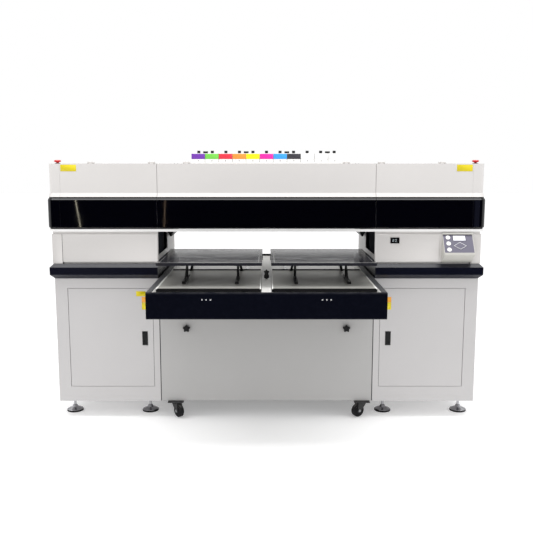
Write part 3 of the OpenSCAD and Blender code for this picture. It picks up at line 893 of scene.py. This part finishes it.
@dataclass
class InkRow:
    """Colour plates, number marks and clips on the row of ink tanks."""

    count: int = 11
    plate_height: float = 0.033
    plate_top_gap: float = 0.003
    plate_thick: float = 0.0006
    mark_radius: float = 0.0035
    clip_half: tuple[float, float, float] = (0.015, 0.008, 0.005)
    clip_gaps: tuple[int, ...] = (0, 3, 6, 9)
    inks: tuple[str, ...] = (
        "7538B0", "7AD550", "E63246", "FD9B3C", "FDF500", "F028AA", "3CA5FA", "3C3A41", "F6F6F6", "F6F6F6", "F6F6F6",
    )

    def place_of(self, number: int) -> tuple[float, float]:
        """Left edge and width of a tank's front.

        Args:
            number: The tank, counted from the left.

        Returns:
            Its left edge and its width.
        """
        low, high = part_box("ink_tanks")
        pitch = (high.x - low.x + 0.002) / self.count
        return low.x - 0.001 + number * pitch, pitch

    def colour_plates(self) -> None:
        """One thin plate with rounded corners on each tank's front."""
        low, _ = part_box("ink_tanks")
        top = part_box("tank_caps")[0].z - self.plate_top_gap
        x, pitch = self.place_of(0)
        model = Bench.block(
            "ink_plate_01",
            (x + 0.0012, low.y - self.plate_thick, top - self.plate_height),
            (x + pitch - 0.0012, low.y + 0.0004, top),
        )
        Bench.press(model, facing(Axis.Y, -1), 0.0012, 0.0002)
        Bench.soften(model, 0.0003, 2)
        for number, code in enumerate(self.inks):
            plate = model if number == 0 else Bench.twin(model, f"ink_plate_{number + 1:02d}", shift(pitch * number))
            finish = PrintedPlate(f"ink_plate_{code}", paint(code), mottle=0.03, slot="tank_white")
            Bench.deliver(plate, finish, "root")

    def marks(self) -> None:
        """A small round dot under each plate."""
        low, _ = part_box("ink_tanks")
        dots = []
        for number in range(self.count):
            x, pitch = self.place_of(number)
            dot = Bench.round_bar("dot", (x + pitch / 2, low.y, 1.533), self.mark_radius, 0.001, Axis.Y, 20)
            dots.append(Bench.press(dot, facing(Axis.Y, -1), 0.0008, 0.0002))
        marks = Bench.soften(Bench.weld("ink_marks", dots), 0.0002, 1)
        Bench.deliver(marks, PrintedPlate("mark_grey", paint("8E8C94"), slot="tank_white"), "root")

    def clips(self) -> None:
        """Black clips that hold neighbouring tanks together."""
        cap_low, cap_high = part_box("tank_caps")
        clips = []
        for gap in self.clip_gaps:
            x, pitch = self.place_of(gap + 1)
            middle = Vector((x, (cap_low.y + cap_high.y) / 2, (cap_low.z + cap_high.z) / 2))
            half = Vector(self.clip_half)
            clip = Bench.block("clip", middle - half, middle + half)
            Bench.pull(clip, facing(Axis.Z, -1), (0, 0, cap_low.z - middle.z + half.z))
            Bench.press(clip, facing(Axis.Z, 1), 0.003, -0.0015)
            clips.append(Bench.soften(clip, 0.0008, 2))
        Bench.deliver(Bench.weld("tank_clips", clips), CAP, "root")

    def build(self) -> None:
        """Builds all of the row's small pieces."""
        self.colour_plates()
        self.marks()
        self.clips()


@dataclass
class BlankPlates:
    """Unprinted sticker plates on the hoods and the doors."""

    thick: float = 0.0006
    hood_plate: tuple[float, float, float, float] = (1.097, 1.188, 1.472, 1.510)
    door_plate: tuple[float, float, float, float] = (0.690, 0.736, 0.662, 0.738)
    door_split: float = 0.706
    corner_plate: tuple[float, float, float, float] = (0.712, 0.768, 0.742, 0.772)

    def plate(self, name: str, place: tuple[float, float, float, float], y: float, side: Side) -> bpy.types.Object:
        """One thin plate with a raised middle.

        Args:
            name: Name of the piece.
            place: Inner and outer X, then lower and upper Z, on the right side.
            y: The face it sits on.
            side: The side it is on.

        Returns:
            The plate.
        """
        x0, x1, z0, z1 = place
        made = Bench.block(name, (x0, y - self.thick, z0), (x1, y + 0.0003, z1))
        Bench.press(made, facing(Axis.Y, -1), 0.002, 0.0002)
        return Bench.place(Bench.soften(made, 0.0002, 1), side.out())

    def build(self) -> None:
        """Hood plates, and the split plates on the doors, whose upper part is orange as painted shade."""
        hood_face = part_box("left_hood")[0].y + 0.016
        door_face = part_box("left_door")[0].y
        for side in Side:
            word = side.word
            hood = self.plate(f"{word}_hood_plate", self.hood_plate, hood_face, side)
            Bench.deliver(hood, PLATE_YELLOW, f"{word}_hood_leaf")
            x0, x1, z0, z1 = self.door_plate
            lower = self.plate(f"{word}_door_plate_low", (x0, x1, z0, self.door_split - 0.001), door_face, side)
            # Upper door plate in orange: painted shade on the yellow label.
            upper = self.plate(f"{word}_door_plate_high", (x0, x1, self.door_split, z1), door_face, side)
            Bench.deliver(lower, PLATE_YELLOW, f"{word}_door_leaf")
            Bench.deliver(upper, PLATE_SHADED_YELLOW, f"{word}_door_leaf")
        corner = self.plate("left_door_plate_corner", self.corner_plate, door_face, Side.LEFT)
        Bench.deliver(corner, PLATE_YELLOW, "left_door_leaf")


@dataclass
class TableDressing:
    """Edge strips that paint a highlight, bars, and the platen skin and highlight line of the two sliding tables."""

    strip_w: float = 0.006
    strip_h: float = 0.0014
    bar_rise: float = 0.0015
    bar_depth: float = 0.0155
    side_border: float = 0.019
    end_border: float = 0.012
    line_w: float = 0.0022
    sheet_rise: float = 0.0004

    def tray_pieces(self, side: Side) -> None:
        """Near-white side strips that paint the edge highlight, and black bars across the front and rear of a tray."""
        low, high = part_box("right_tray")
        top = high.z
        strips = []
        for x in (low.x, high.x - self.strip_w):
            corner = (x + self.strip_w, high.y, top + self.strip_h)
            strip = Bench.block("strip", (x, low.y, top - 0.002), corner)
            strips.append(Bench.soften(Bench.press(strip, facing(Axis.Z, 1), 0.0012, 0.0004), 0.0004, 2))
        made = Bench.place(Bench.weld(f"{side.word}_tray_strips", strips), side.out())
        # Near-white strip finish: painted highlight along the tray's side edges.
        highlight_finish = BrushedMetal("tray_highlight_strip", paint("FBFAF6"), 0.5, metallic=0.0, along=Axis.Y, slot="tray_metal")
        Bench.deliver(made, highlight_finish, f"{side.word}_table")
        bars = []
        for y, rise in ((low.y, self.bar_rise), (high.y - self.bar_depth * 0.6, 4 * self.bar_rise)):
            bar = Bench.block(
                "bar",
                (low.x + self.strip_w, y + 0.0004, top - 0.003),
                (high.x - self.strip_w, y + self.bar_depth * 0.6, top + rise),
            )
            bars.append(Bench.soften(Bench.press(bar, facing(Axis.Z, 1), 0.002, 0.0005), 0.001, 2))
        made = Bench.place(Bench.weld(f"{side.word}_tray_bars", bars), side.out())
        Bench.deliver(made, STAND, f"{side.word}_table")

    def platen_pieces(self, side: Side) -> None:
        """A glossy skin on the platen, with a bright bevelled line round it that paints the rim highlight."""
        low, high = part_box("right_platen")
        inner = Vector((low.x + self.side_border, low.y + self.end_border, high.z - 0.001))
        outer = Vector((high.x - self.side_border, high.y - self.end_border, high.z + self.sheet_rise))
        skin = Bench.block(f"{side.word}_platen_skin", inner, outer)
        Bench.press(skin, facing(Axis.Z, 1), 0.004, -0.0002)
        Bench.deliver(Bench.place(skin, side.out()), PLATEN, f"{side.word}_table")
        reach = Vector((self.line_w, self.line_w, 0))
        line = Bench.block(f"{side.word}_platen_line", inner - reach, outer + reach)
        Bench.bore(line, self.line_w)
        Bench.soften(line, 0.0003, 1)
        # Bright metal line: painted highlight round the platen's rim.
        highlight_finish = BrushedMetal("platen_line", paint("D8D8D6"), 0.3, metallic=0.7, along=Axis.Y, slot="platen_black")
        Bench.deliver(Bench.place(line, side.out()), highlight_finish, f"{side.word}_table")

    def build(self) -> None:
        """Dresses both tables."""
        for side in Side:
            self.tray_pieces(side)
            self.platen_pieces(side)


@dataclass
class BedDressing:
    """Indicator lamps on the bed's front, and the bracket behind the middle knob."""

    lamp_x: float = 0.3106
    lamp_pitch: float = 0.022
    lamp_z: float = 0.823
    lamp_r: float = 0.0034
    knob_depth: float = 0.023
    clamp_r: float = 0.0165
    clamp_thick: float = 0.005
    clamp_overlap: float = 0.72
    clamp_gap: float = 0.0005

    def lamps(self) -> None:
        """Three small domed lamps in a row on each side."""
        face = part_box("bed_covers")[0].y
        domes = []
        for middle in (-self.lamp_x, self.lamp_x):
            for step in (-1, 0, 1):
                centre = (middle + step * self.lamp_pitch, face + 0.0008, self.lamp_z)
                dome = Bench.round_bar("lamp", centre, self.lamp_r, 0.0024, Axis.Y, 24)
                Bench.press(dome, facing(Axis.Y, -1), 0.0012, -0.0004)
                domes.append(Bench.soften(dome, 0.0003, 2))
        Bench.deliver(Bench.weld("bed_lamps", domes), WHITE_LINE, "root")

    def knob_bracket(self) -> None:
        """Black six-sided clamp plate behind the middle knob, its point on the hat rail."""
        low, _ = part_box("centre_knob")
        tab = low.y + self.knob_depth
        plate = Bench.round_bar("knob_clamp", (0, 0, 0), self.clamp_r, self.clamp_thick, Axis.Y, 6)
        Bench.press(plate, facing(Axis.Y, -1), 0.003, -0.0008)
        y = tab - self.clamp_thick / 2 - self.clamp_gap
        there = shift(0.0, y, low.z - self.clamp_r * self.clamp_overlap)
        Bench.deliver(Bench.soften(Bench.place(plate, there), 0.0008, 2), KNOB, "root")

    def build(self) -> None:
        """Builds the bed's small pieces."""
        self.lamps()
        self.knob_bracket()


@dataclass
class OpeningTrim:
    """Black gantry brackets at the top inner corners of the print opening."""

    reach: float = 0.034
    drop: float = 0.073
    y: tuple[float, float] = (0.153, 0.44)

    def build(self) -> None:
        """One stepped bracket on each side, hung under the upper pan."""
        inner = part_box("right_cabinet")[0].x
        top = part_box("upper_pan")[0].z
        for side in Side:
            bracket = Bench.block(
                f"{side.word}_gantry_bracket",
                (inner - self.reach, self.y[0], top - self.drop * 0.7),
                (inner + 0.001, self.y[1], top - 0.0005),
            )
            Bench.press(bracket, facing(Axis.Z, -1), 0.006, self.drop * 0.3)
            Bench.soften(bracket, 0.001, 2)
            Bench.deliver(Bench.place(bracket, side.out()), STAND, "root")


@dataclass
class MidPanels:
    """Front sheets, end posts and gaskets of the covers between counter and upper housing."""

    proud: float = 0.002
    inner: float = 0.6360
    seam: float = 1.1905
    gasket: float = 0.0028
    console_gap: float = 0.014
    lower: float = 0.9465
    upper: float = 1.1095

    def sheet(self, name: str, x: tuple[float, float]) -> bpy.types.Object:
        """One front sheet with turned edges.

        Args:
            name: Name of the piece.
            x: Its inner and outer X.

        Returns:
            The sheet.
        """
        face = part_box("mid_housings")[0].y
        made = Bench.block(name, (x[0], face - self.proud, self.lower), (x[1], face + 0.001, self.upper))
        Bench.press(made, facing(Axis.Y, -1), 0.004, -0.0003)
        return Bench.soften(made, 0.0008, 2)

    def posts(self, side: Side) -> None:
        """End post down to the counter, and the gasket beside it."""
        low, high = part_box("mid_housings")
        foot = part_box("counter_trims")[1].z + 0.0002
        x = self.seam + self.gasket / 2
        post = Bench.block(
            f"{side.word}_end_post", (x, low.y - self.proud * 0.6, foot), (high.x - 0.0005, low.y + 0.03, self.upper)
        )
        Bench.soften(Bench.press(post, facing(Axis.Y, -1), 0.003, -0.0002), 0.001, 2)
        Bench.deliver(Bench.place(post, side.out()), LEDGE, "root")
        strip = Bench.block(
            f"{side.word}_mid_gasket",
            (self.seam - self.gasket / 2, low.y - 0.0006, foot),
            (self.seam + self.gasket / 2, low.y + 0.01, self.upper),
        )
        Bench.soften(Bench.press(strip, facing(Axis.Y, -1), 0.0006, -0.0002), 0.0002, 1)
        Bench.deliver(Bench.place(strip, side.out()), RUBBER, "root")

    def build(self) -> None:
        """Sheets on both sides; the right one ends at the console."""
        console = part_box("console_body")[0].x
        left = Bench.place(self.sheet("left_mid_sheet", (self.inner, self.seam - self.gasket / 2)), MIRROR)
        Bench.deliver(left, LEDGE, "root")
        right = self.sheet("right_mid_sheet", (self.inner, console - self.console_gap))
        Bench.deliver(right, LEDGE, "root")
        for side in Side:
            self.posts(side)


@dataclass
class GapShadowStrips:
    """Black rubber strips in the gaps beside the bay panel and the doors' latch edges, painted shade for the shadow in
    those gaps.
    """

    bay_gap: tuple[float, float] = (0.6300, 0.6345)
    latch_gap: float = 0.0015
    bay_depth: float = 0.006
    latch_depth: float = 0.012
    clearance: float = 0.0003
    sunk: float = 0.0004
    proud: float = 0.0006

    def strip(self, name: str, low: Triple, high: Triple, side: Side) -> bpy.types.Object:
        """One strip with a hollow along its face.

        Args:
            name: Name of the piece.
            low: Its lowest corner on the right side.
            high: Its highest corner on the right side.
            side: The side it is on.

        Returns:
            The strip.
        """
        made = Bench.block(name, low, high)
        Bench.press(made, facing(Axis.Y, -1), min(high[0] - low[0], high[2] - low[2]) * 0.25, -0.0003)
        return Bench.place(Bench.soften(made, 0.0002, 1), side.out())

    def build(self) -> None:
        """Shadow strips on both sides."""
        panel_low, panel_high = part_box("centre_panels")
        door_low, door_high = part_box("right_door")
        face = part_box("right_cabinet")[0].y
        latch_edge = door_low.x - self.clearance
        for side in Side:
            # Black strips in the gaps: painted shade for the gaps' shadow.
            bay = self.strip(
                f"{side.word}_bay_strip",
                (self.bay_gap[0], face - self.proud, panel_low.z),
                (self.bay_gap[1], face + self.bay_depth, panel_high.z),
                side,
            )
            Bench.deliver(bay, RUBBER, "root")
            latch = self.strip(
                f"{side.word}_door_strip",
                (latch_edge - self.latch_gap, face + self.sunk, door_low.z),
                (latch_edge, face + self.latch_depth, door_high.z),
                side,
            )
            Bench.deliver(latch, RUBBER, "root")


@dataclass
class ConsoleDressing:
    """Screen, key rings and outlines on the sloping console, and the meter's digits."""

    slope: float = math.radians(54.894)
    screen: tuple[float, float, float, float] = (0.058, 0.080, 0.074, 0.035)
    pad_centre: tuple[float, float] = (0.095, 0.047)
    pad_half: tuple[float, float] = (0.038, 0.025)
    line: float = 0.0019
    key_u: float = 0.030
    key_v: tuple[float, float, float] = (0.1015, 0.062, 0.022)
    key_r: float = 0.013

    def on_face(self) -> Matrix:
        """Place of the sloping face: x along it, y up it, z out of it."""
        low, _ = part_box("console_body")
        return Matrix.Translation((low.x, low.y, 1.007)) @ Matrix.Rotation(self.slope, 4, "X")

    def screen_pieces(self) -> None:
        """A light screen."""
        u, v, w, h = self.screen
        edge = 0.0015
        glass = Bench.block("screen_glass", (u + edge, v + edge, 0.0019), (u + w - edge, v + h - edge, 0.0024))
        Bench.soften(Bench.press(glass, facing(Axis.Z, 1), 0.0015, -0.0001), 0.0002, 1)
        Bench.deliver(Bench.place(glass, self.on_face()), LCD, "root")

    def diamond(self) -> None:
        """White diamond outline on the direction pad."""
        cx, cy = self.pad_centre
        Bench.clear()
        bpy.ops.mesh.primitive_cylinder_add(vertices=4, radius=1, depth=1, location=(0, 0, 0))
        ring = Bench.settle("pad_outline")
        Bench.place(ring, Matrix.Diagonal((self.pad_half[0] - 0.001, self.pad_half[1] - 0.001, 0.0008, 1.0)))
        Bench.bore(ring, self.line)
        Bench.place(ring, shift(cx, cy, 0.0028))
        Bench.soften(ring, 0.0002, 1)
        Bench.deliver(Bench.place(ring, self.on_face()), WHITE_LINE, "direction_button")

    def key_rings(self) -> None:
        """Pale collar round each key."""
        collars = []
        for v in self.key_v:
            centre = (self.key_u, v, 0.0009)
            collar = Bench.round_bar("collar", centre, self.key_r + 0.0022, 0.0012, Axis.Z, 40)
            Bench.bore(collar, 0.0018)
            collars.append(Bench.soften(collar, 0.0003, 1))
        made = Bench.place(Bench.weld("key_collars", collars), self.on_face())
        Bench.deliver(made, OVERLAY, "root")

    def brow(self) -> None:
        """Drip strip over the sloping face."""
        low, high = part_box("console_body")
        front = (low.x, high.y - 0.010, high.z + 0.002)
        strip = Bench.block("console_brow", front, (high.x, high.y, high.z + 0.011))
        Bench.press(strip, facing(Axis.Y, -1), 0.002, 0.0006)
        Bench.deliver(Bench.soften(strip, 0.0012, 2), CONSOLE, "root")

    def meter_digits(self) -> None:
        """Two seven-bar digits on the small meter."""
        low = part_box("displays")[0]
        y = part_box("mid_housings")[0].y - 0.003
        bars = []
        lit = ((0, 1, 3, 4, 6), (0, 1, 2, 4, 5, 6))
        for digit, segments in enumerate(lit):
            x = low.x + 0.016 + digit * 0.015
            z = low.z + 0.0105
            spots = (
                (x, z + 0.013, True), (x + 0.004, z + 0.00975, False), (x - 0.004, z + 0.00975, False),
                (x, z + 0.0065, True), (x - 0.004, z + 0.00325, False), (x + 0.004, z + 0.00325, False), (x, z, True),
            )
            for number in segments:
                cx, cz, lying = spots[number]
                half = (0.003, 0.0008) if lying else (0.0008, 0.0026)
                bar = Bench.block(
                    "bar", (cx - half[0], y - 0.0006, cz - half[1]), (cx + half[0], y + 0.0002, cz + half[1])
                )
                bars.append(Bench.soften(bar, 0.0003, 1))
        Bench.deliver(Bench.weld("meter_bars", bars), DIGITS, "root")

    def build(self) -> None:
        """Dresses the console and the meter."""
        self.screen_pieces()
        self.diamond()
        self.key_rings()
        self.brow()
        self.meter_digits()


@dataclass
class StopCollars:
    """Threaded collars under the two stop buttons."""

    radius: float = 0.0165
    hole: float = 0.0088
    height: float = 0.0025

    def build(self) -> None:
        """One collar on each end cover."""
        for side in Side:
            low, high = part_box(f"{side.word}_estop")
            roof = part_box("end_covers")[1].z
            centre = ((low.x + high.x) / 2, (low.y + high.y) / 2, roof + self.height / 2)
            collar = Bench.round_bar(f"{side.word}_stop_collar", centre, self.radius, self.height, Axis.Z, 24)
            Bench.bore(collar, self.radius - self.hole)
            Bench.deliver(Bench.soften(collar, 0.0007, 2), KNOB, "root")


@dataclass
class RunningGear:
    """Axle nuts on the casters, bolts in their plates and rubber rings on the feet."""

    nut_r: float = 0.0085
    nut_h: float = 0.005
    bolt_r: float = 0.006
    ring_r: float = 0.0505
    ring_h: float = 0.006
    plate_half: float = 0.047

    def axle_nuts(self) -> None:
        """A hexagon nut on each end of each axle."""
        for end in ("front", "rear"):
            for side in Side:
                place = f"{end}_{side.word}"
                low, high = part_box(f"{place}_wheel")
                middle = (low + high) / 2
                flat = Vector((high.x - low.x, high.y - low.y, 0))
                turn = {"front_left": 220, "front_right": 120, "rear_left": 160, "rear_right": 30}[place]
                way = Matrix.Rotation(math.radians(turn), 4, "Z")
                nuts = []
                for sign in (-1, 1):
                    offset = sign * (0.0185 + self.nut_h / 2)
                    nut = Bench.round_bar("nut", (0, 0, 0), self.nut_r, self.nut_h, Axis.X, 6)
                    Bench.press(nut, facing(Axis.X, sign), 0.003, -0.0008)
                    Bench.soften(nut, 0.0006, 2)
                    nuts.append(Bench.place(nut, Matrix.Translation(middle) @ way @ shift(offset)))
                Bench.deliver(Bench.weld(f"{place}_axle_nuts", nuts), ZINC, f"{place}_swivel")
                log.info("%s wheel spans %.3f by %.3f", place, flat.x, flat.y)

    def plate_bolts(self) -> None:
        """Four hexagon heads under each caster plate."""
        low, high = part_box("caster_plates")
        heads = []
        reach = self.plate_half - 0.012
        for x in (low.x + self.plate_half, high.x - self.plate_half):
            for y in (low.y + self.plate_half, high.y - self.plate_half):
                for dx in (-reach, reach):
                    for dy in (-reach, reach):
                        head = Bench.round_bar("bolt", (x + dx, y + dy, high.z - 0.007), self.bolt_r, 0.004, Axis.Z, 6)
                        heads.append(Bench.soften(head, 0.0005, 1))
        Bench.deliver(Bench.weld("caster_bolts", heads), ZINC, "root")

    def foot_rings(self) -> None:
        """A rubber ring round the foot of each levelling pad."""
        low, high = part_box("levelling_feet")
        rings = []
        for x in (high.x - 0.05, high.x - 0.518, low.x + 0.05, low.x + 0.518):
            for y in (low.y + 0.05, high.y - 0.05):
                centre = (x, y, self.ring_h / 2 + 0.0002)
                ring = Bench.round_bar("ring", centre, self.ring_r, self.ring_h - 0.0004, Axis.Z, 48)
                rings.append(Bench.soften(ring, 0.0012, 2))
        Bench.deliver(Bench.weld("foot_rings", rings), RUBBER, "root")

    def build(self) -> None:
        """Dresses casters and feet."""
        self.axle_nuts()
        self.plate_bolts()
        self.foot_rings()


@dataclass
class PanelScrews:
    """Button-head screws that hold the sheet covers."""

    radius: float = 0.0045
    proud: float = 0.0016

    def heads(self, name: str, spots: list[Triple], axis: Axis, sign: int, finish: Finish, body: str) -> None:
        """A set of screw heads with a sunk socket.

        Args:
            name: Name of the piece.
            spots: Where the heads meet the sheet.
            axis: The way they point.
            sign: Whether they point up or down that axis.
            finish: Their finish.
            body: The body they move with.
        """
        made = []
        for spot in spots:
            centre = Vector(spot)
            centre[axis.value] += sign * self.proud / 2
            head = Bench.round_bar("head", tuple(centre), self.radius, self.proud, axis, 16)
            Bench.press(head, facing(axis, sign), 0.002, -0.0007)
            made.append(Bench.soften(head, 0.0004, 1))
        Bench.deliver(Bench.weld(name, made), finish, body)

    def build(self) -> None:
        """Screws on the rear covers, the roof and the rear panel."""
        low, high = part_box("top_cover")
        rear = [(x, high.y, z) for x in (-1.17, -0.62, 0.0, 0.62, 1.17) for z in (1.16, 1.50)]
        self.heads("rear_cover_screws", rear, Axis.Y, 1, ZINC, "root")
        roof = [(x, y, high.z - 0.012) for x in (-1.17, -0.6, 0.6, 1.17) for y in (0.30, 0.46)]
        self.heads("roof_screws", roof, Axis.Z, 1, ZINC, "root")
        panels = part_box("centre_panels")
        back = [(x, panels[1].y, z) for x in (-0.60, 0.0, 0.60) for z in (0.13, 0.69)]
        self.heads("rear_panel_screws", back, Axis.Y, 1, ZINC, "root")


@dataclass
class InletDressing:
    """Pins of the power inlet."""

    pin: tuple[float, float, float] = (0.0025, 0.012, 0.006)

    def build(self) -> None:
        """Three blades in the socket."""
        low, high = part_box("power_inlet")
        cx, cz = (low.x + high.x) / 2, (low.z + high.z) / 2
        pins = []
        for dx, dz in ((-0.008, -0.003), (0.008, -0.003), (0.0, 0.007)):
            a = (cx + dx - self.pin[0], low.y + 0.007, cz + dz - self.pin[2] / 2)
            b = (cx + dx + self.pin[0], low.y + 0.007 + self.pin[1], cz + dz + self.pin[2] / 2)
            pin = Bench.press(Bench.block("pin", a, b), facing(Axis.Y, 1), 0.0008, 0.0008)
            pins.append(Bench.soften(pin, 0.0004, 2))
        brass = BrushedMetal("inlet_blades", paint("D8C48A"), 0.3, along=Axis.Y, slot="head_steel")
        Bench.deliver(Bench.weld("inlet_pins", pins), brass, "root")


# ------------------------------------------------------------------ studio


@dataclass(frozen=True)
class FloorSheet(Finish):
    """White paper floor, lifted a little so that it stays pale under the machine."""

    lift: float = 0.25

    def material(self) -> bpy.types.Material:
        """Returns the floor's material with its lift."""
        made = super().material()
        for node in made.node_tree.nodes:
            if node.type == "BSDF_PRINCIPLED":
                node.inputs["Emission Color"].default_value = (1.0, 1.0, 1.0, 1.0)
                node.inputs["Emission Strength"].default_value = self.lift
        return made


@dataclass
class Studio:
    """Plain pale floor, soft light and the camera."""

    eye: Triple = (0.0, -4.42, 1.524)
    pitch: float = math.radians(8.289)
    lens: float = 48.35
    sky: float = 1.0
    floor_size: float = 60.0
    tubes: tuple[tuple[float, float, float, float, str], ...] = (
        (-2.305, -8.2, 0.012, 1.1, "FFF6DC"),
        (-1.246, 3.1, 0.009, 0.35, "E8C8A8"),
        (-2.72, 0.0, 0.14, 0.5, "B8A8D8"),
        (2.58, 0.0, 0.07, 0.25, "A8B0E0"),
    )

    def floor(self) -> None:
        """A white floor under and all round the machine."""
        Bench.clear()
        bpy.ops.mesh.primitive_plane_add(size=self.floor_size, location=(0, 0, -0.0005))
        sheet = Bench.settle("studio_floor")
        paper = FloorSheet("floor_white", (0.9, 0.9, 0.9), 0.8, specular=0.1, edge_wear_and_highlight=0, dust=0)
        sheet.data.materials.append(paper.material())

    def lamp(
        self, name: str, place: Triple, turn: Triple, size: tuple[float, float], power: float, tint: str = "FFFFFF"
    ) -> None:
        """One soft rectangular lamp.

        Args:
            name: Its name.
            place: Where it hangs.
            turn: The way it is turned; unturned, it shines down.
            size: Its width and height.
            power: Its power in watts.
            tint: Its colour.
        """
        Bench.clear()
        bpy.ops.object.light_add(type="AREA", location=place, rotation=turn)
        lamp = bpy.context.object
        lamp.name = name
        lamp.data.shape = "RECTANGLE"
        lamp.data.size, lamp.data.size_y = size
        lamp.data.energy = power
        lamp.data.color = paint(tint)
        lamp.visible_camera = False

    def lights(self) -> None:
        """A long lamp over the front edge, and the tubes that the glossy band mirrors."""
        self.lamp("overhead_strip", (0.0, -0.9, 4.0), (0.0, 0.0, 0.0), (7.0, 1.2), 105.0)
        for number, (x, lean, width, power, tint) in enumerate(self.tubes):
            turn = (math.pi / 2, math.radians(lean), 0.0)
            self.lamp(f"tube_{number + 1}", (x, -4.9, 0.9), turn, (width, 2.2), power, tint)

    def flags(self) -> None:
        """Black cloths round the machine that only its glossy faces see."""
        for name, place, turn, size in (
            ("flag_wall", (0.0, -5.6, 1.1), (math.pi / 2, 0.0, 0.0), (16.0, 2.6, 1.0)),
            ("flag_rear", (0.0, 3.0, 1.635), (math.pi / 2, 0.0, 0.0), (12.0, 0.5, 1.0)),
            ("flag_ground", (0.0, -3.7, 0.002), (0.0, 0.0, 0.0), (16.0, 3.9, 1.0)),
        ):
            Bench.clear()
            bpy.ops.mesh.primitive_plane_add(size=1, location=place, rotation=turn, scale=(1, 1, 1))
            bpy.context.object.scale = size
            cloth = Bench.settle(name)
            black = Finish("flag_cloth", (0.004, 0.004, 0.005), 0.9, specular=0.0, dust=0)
            cloth.data.materials.append(black.material())
            for ray in ("camera", "diffuse", "transmission", "volume_scatter", "shadow"):
                setattr(cloth, f"visible_{ray}", False)

    def sky_light(self) -> None:
        """Even white light from all round."""
        world = bpy.data.worlds.new("studio_sky")
        world.use_nodes = True
        world.node_tree.nodes["Background"].inputs["Color"].default_value = (1.0, 1.0, 1.0, 1.0)
        world.node_tree.nodes["Background"].inputs["Strength"].default_value = self.sky
        bpy.context.scene.world = world
        bpy.context.scene.view_settings.view_transform = "Standard"

    def camera(self) -> None:
        """The camera in front of the machine, looking slightly down."""
        Bench.clear()
        bpy.ops.object.camera_add(location=self.eye, rotation=(math.pi / 2 - self.pitch, 0.0, 0.0))
        camera = bpy.context.object
        camera.name = "studio_camera"
        camera.data.lens = self.lens
        camera.data.sensor_width = 36.0
        camera.data.clip_end = 200.0
        bpy.context.scene.camera = camera

    def build(self) -> None:
        """Sets up the whole studio."""
        self.floor()
        self.flags()
        self.lights()
        self.sky_light()
        self.camera()


def main() -> None:
    """Builds the studio and dresses the machine, one sub-assembly after another."""
    logging.basicConfig(level=logging.INFO, format="%(message)s")
    for part in (
        Studio(),
        CadDressing(),
        InkRow(),
        BlankPlates(),
        TableDressing(),
        BedDressing(),
        OpeningTrim(),
        MidPanels(),
        GapShadowStrips(),
        ConsoleDressing(),
        StopCollars(),
        RunningGear(),
        PanelScrews(),
        InletDressing(),
    ):
        log.info("building %s", type(part).__name__)
        part.build()
    Bench.clear()


if __name__ == "__main__":
    main()
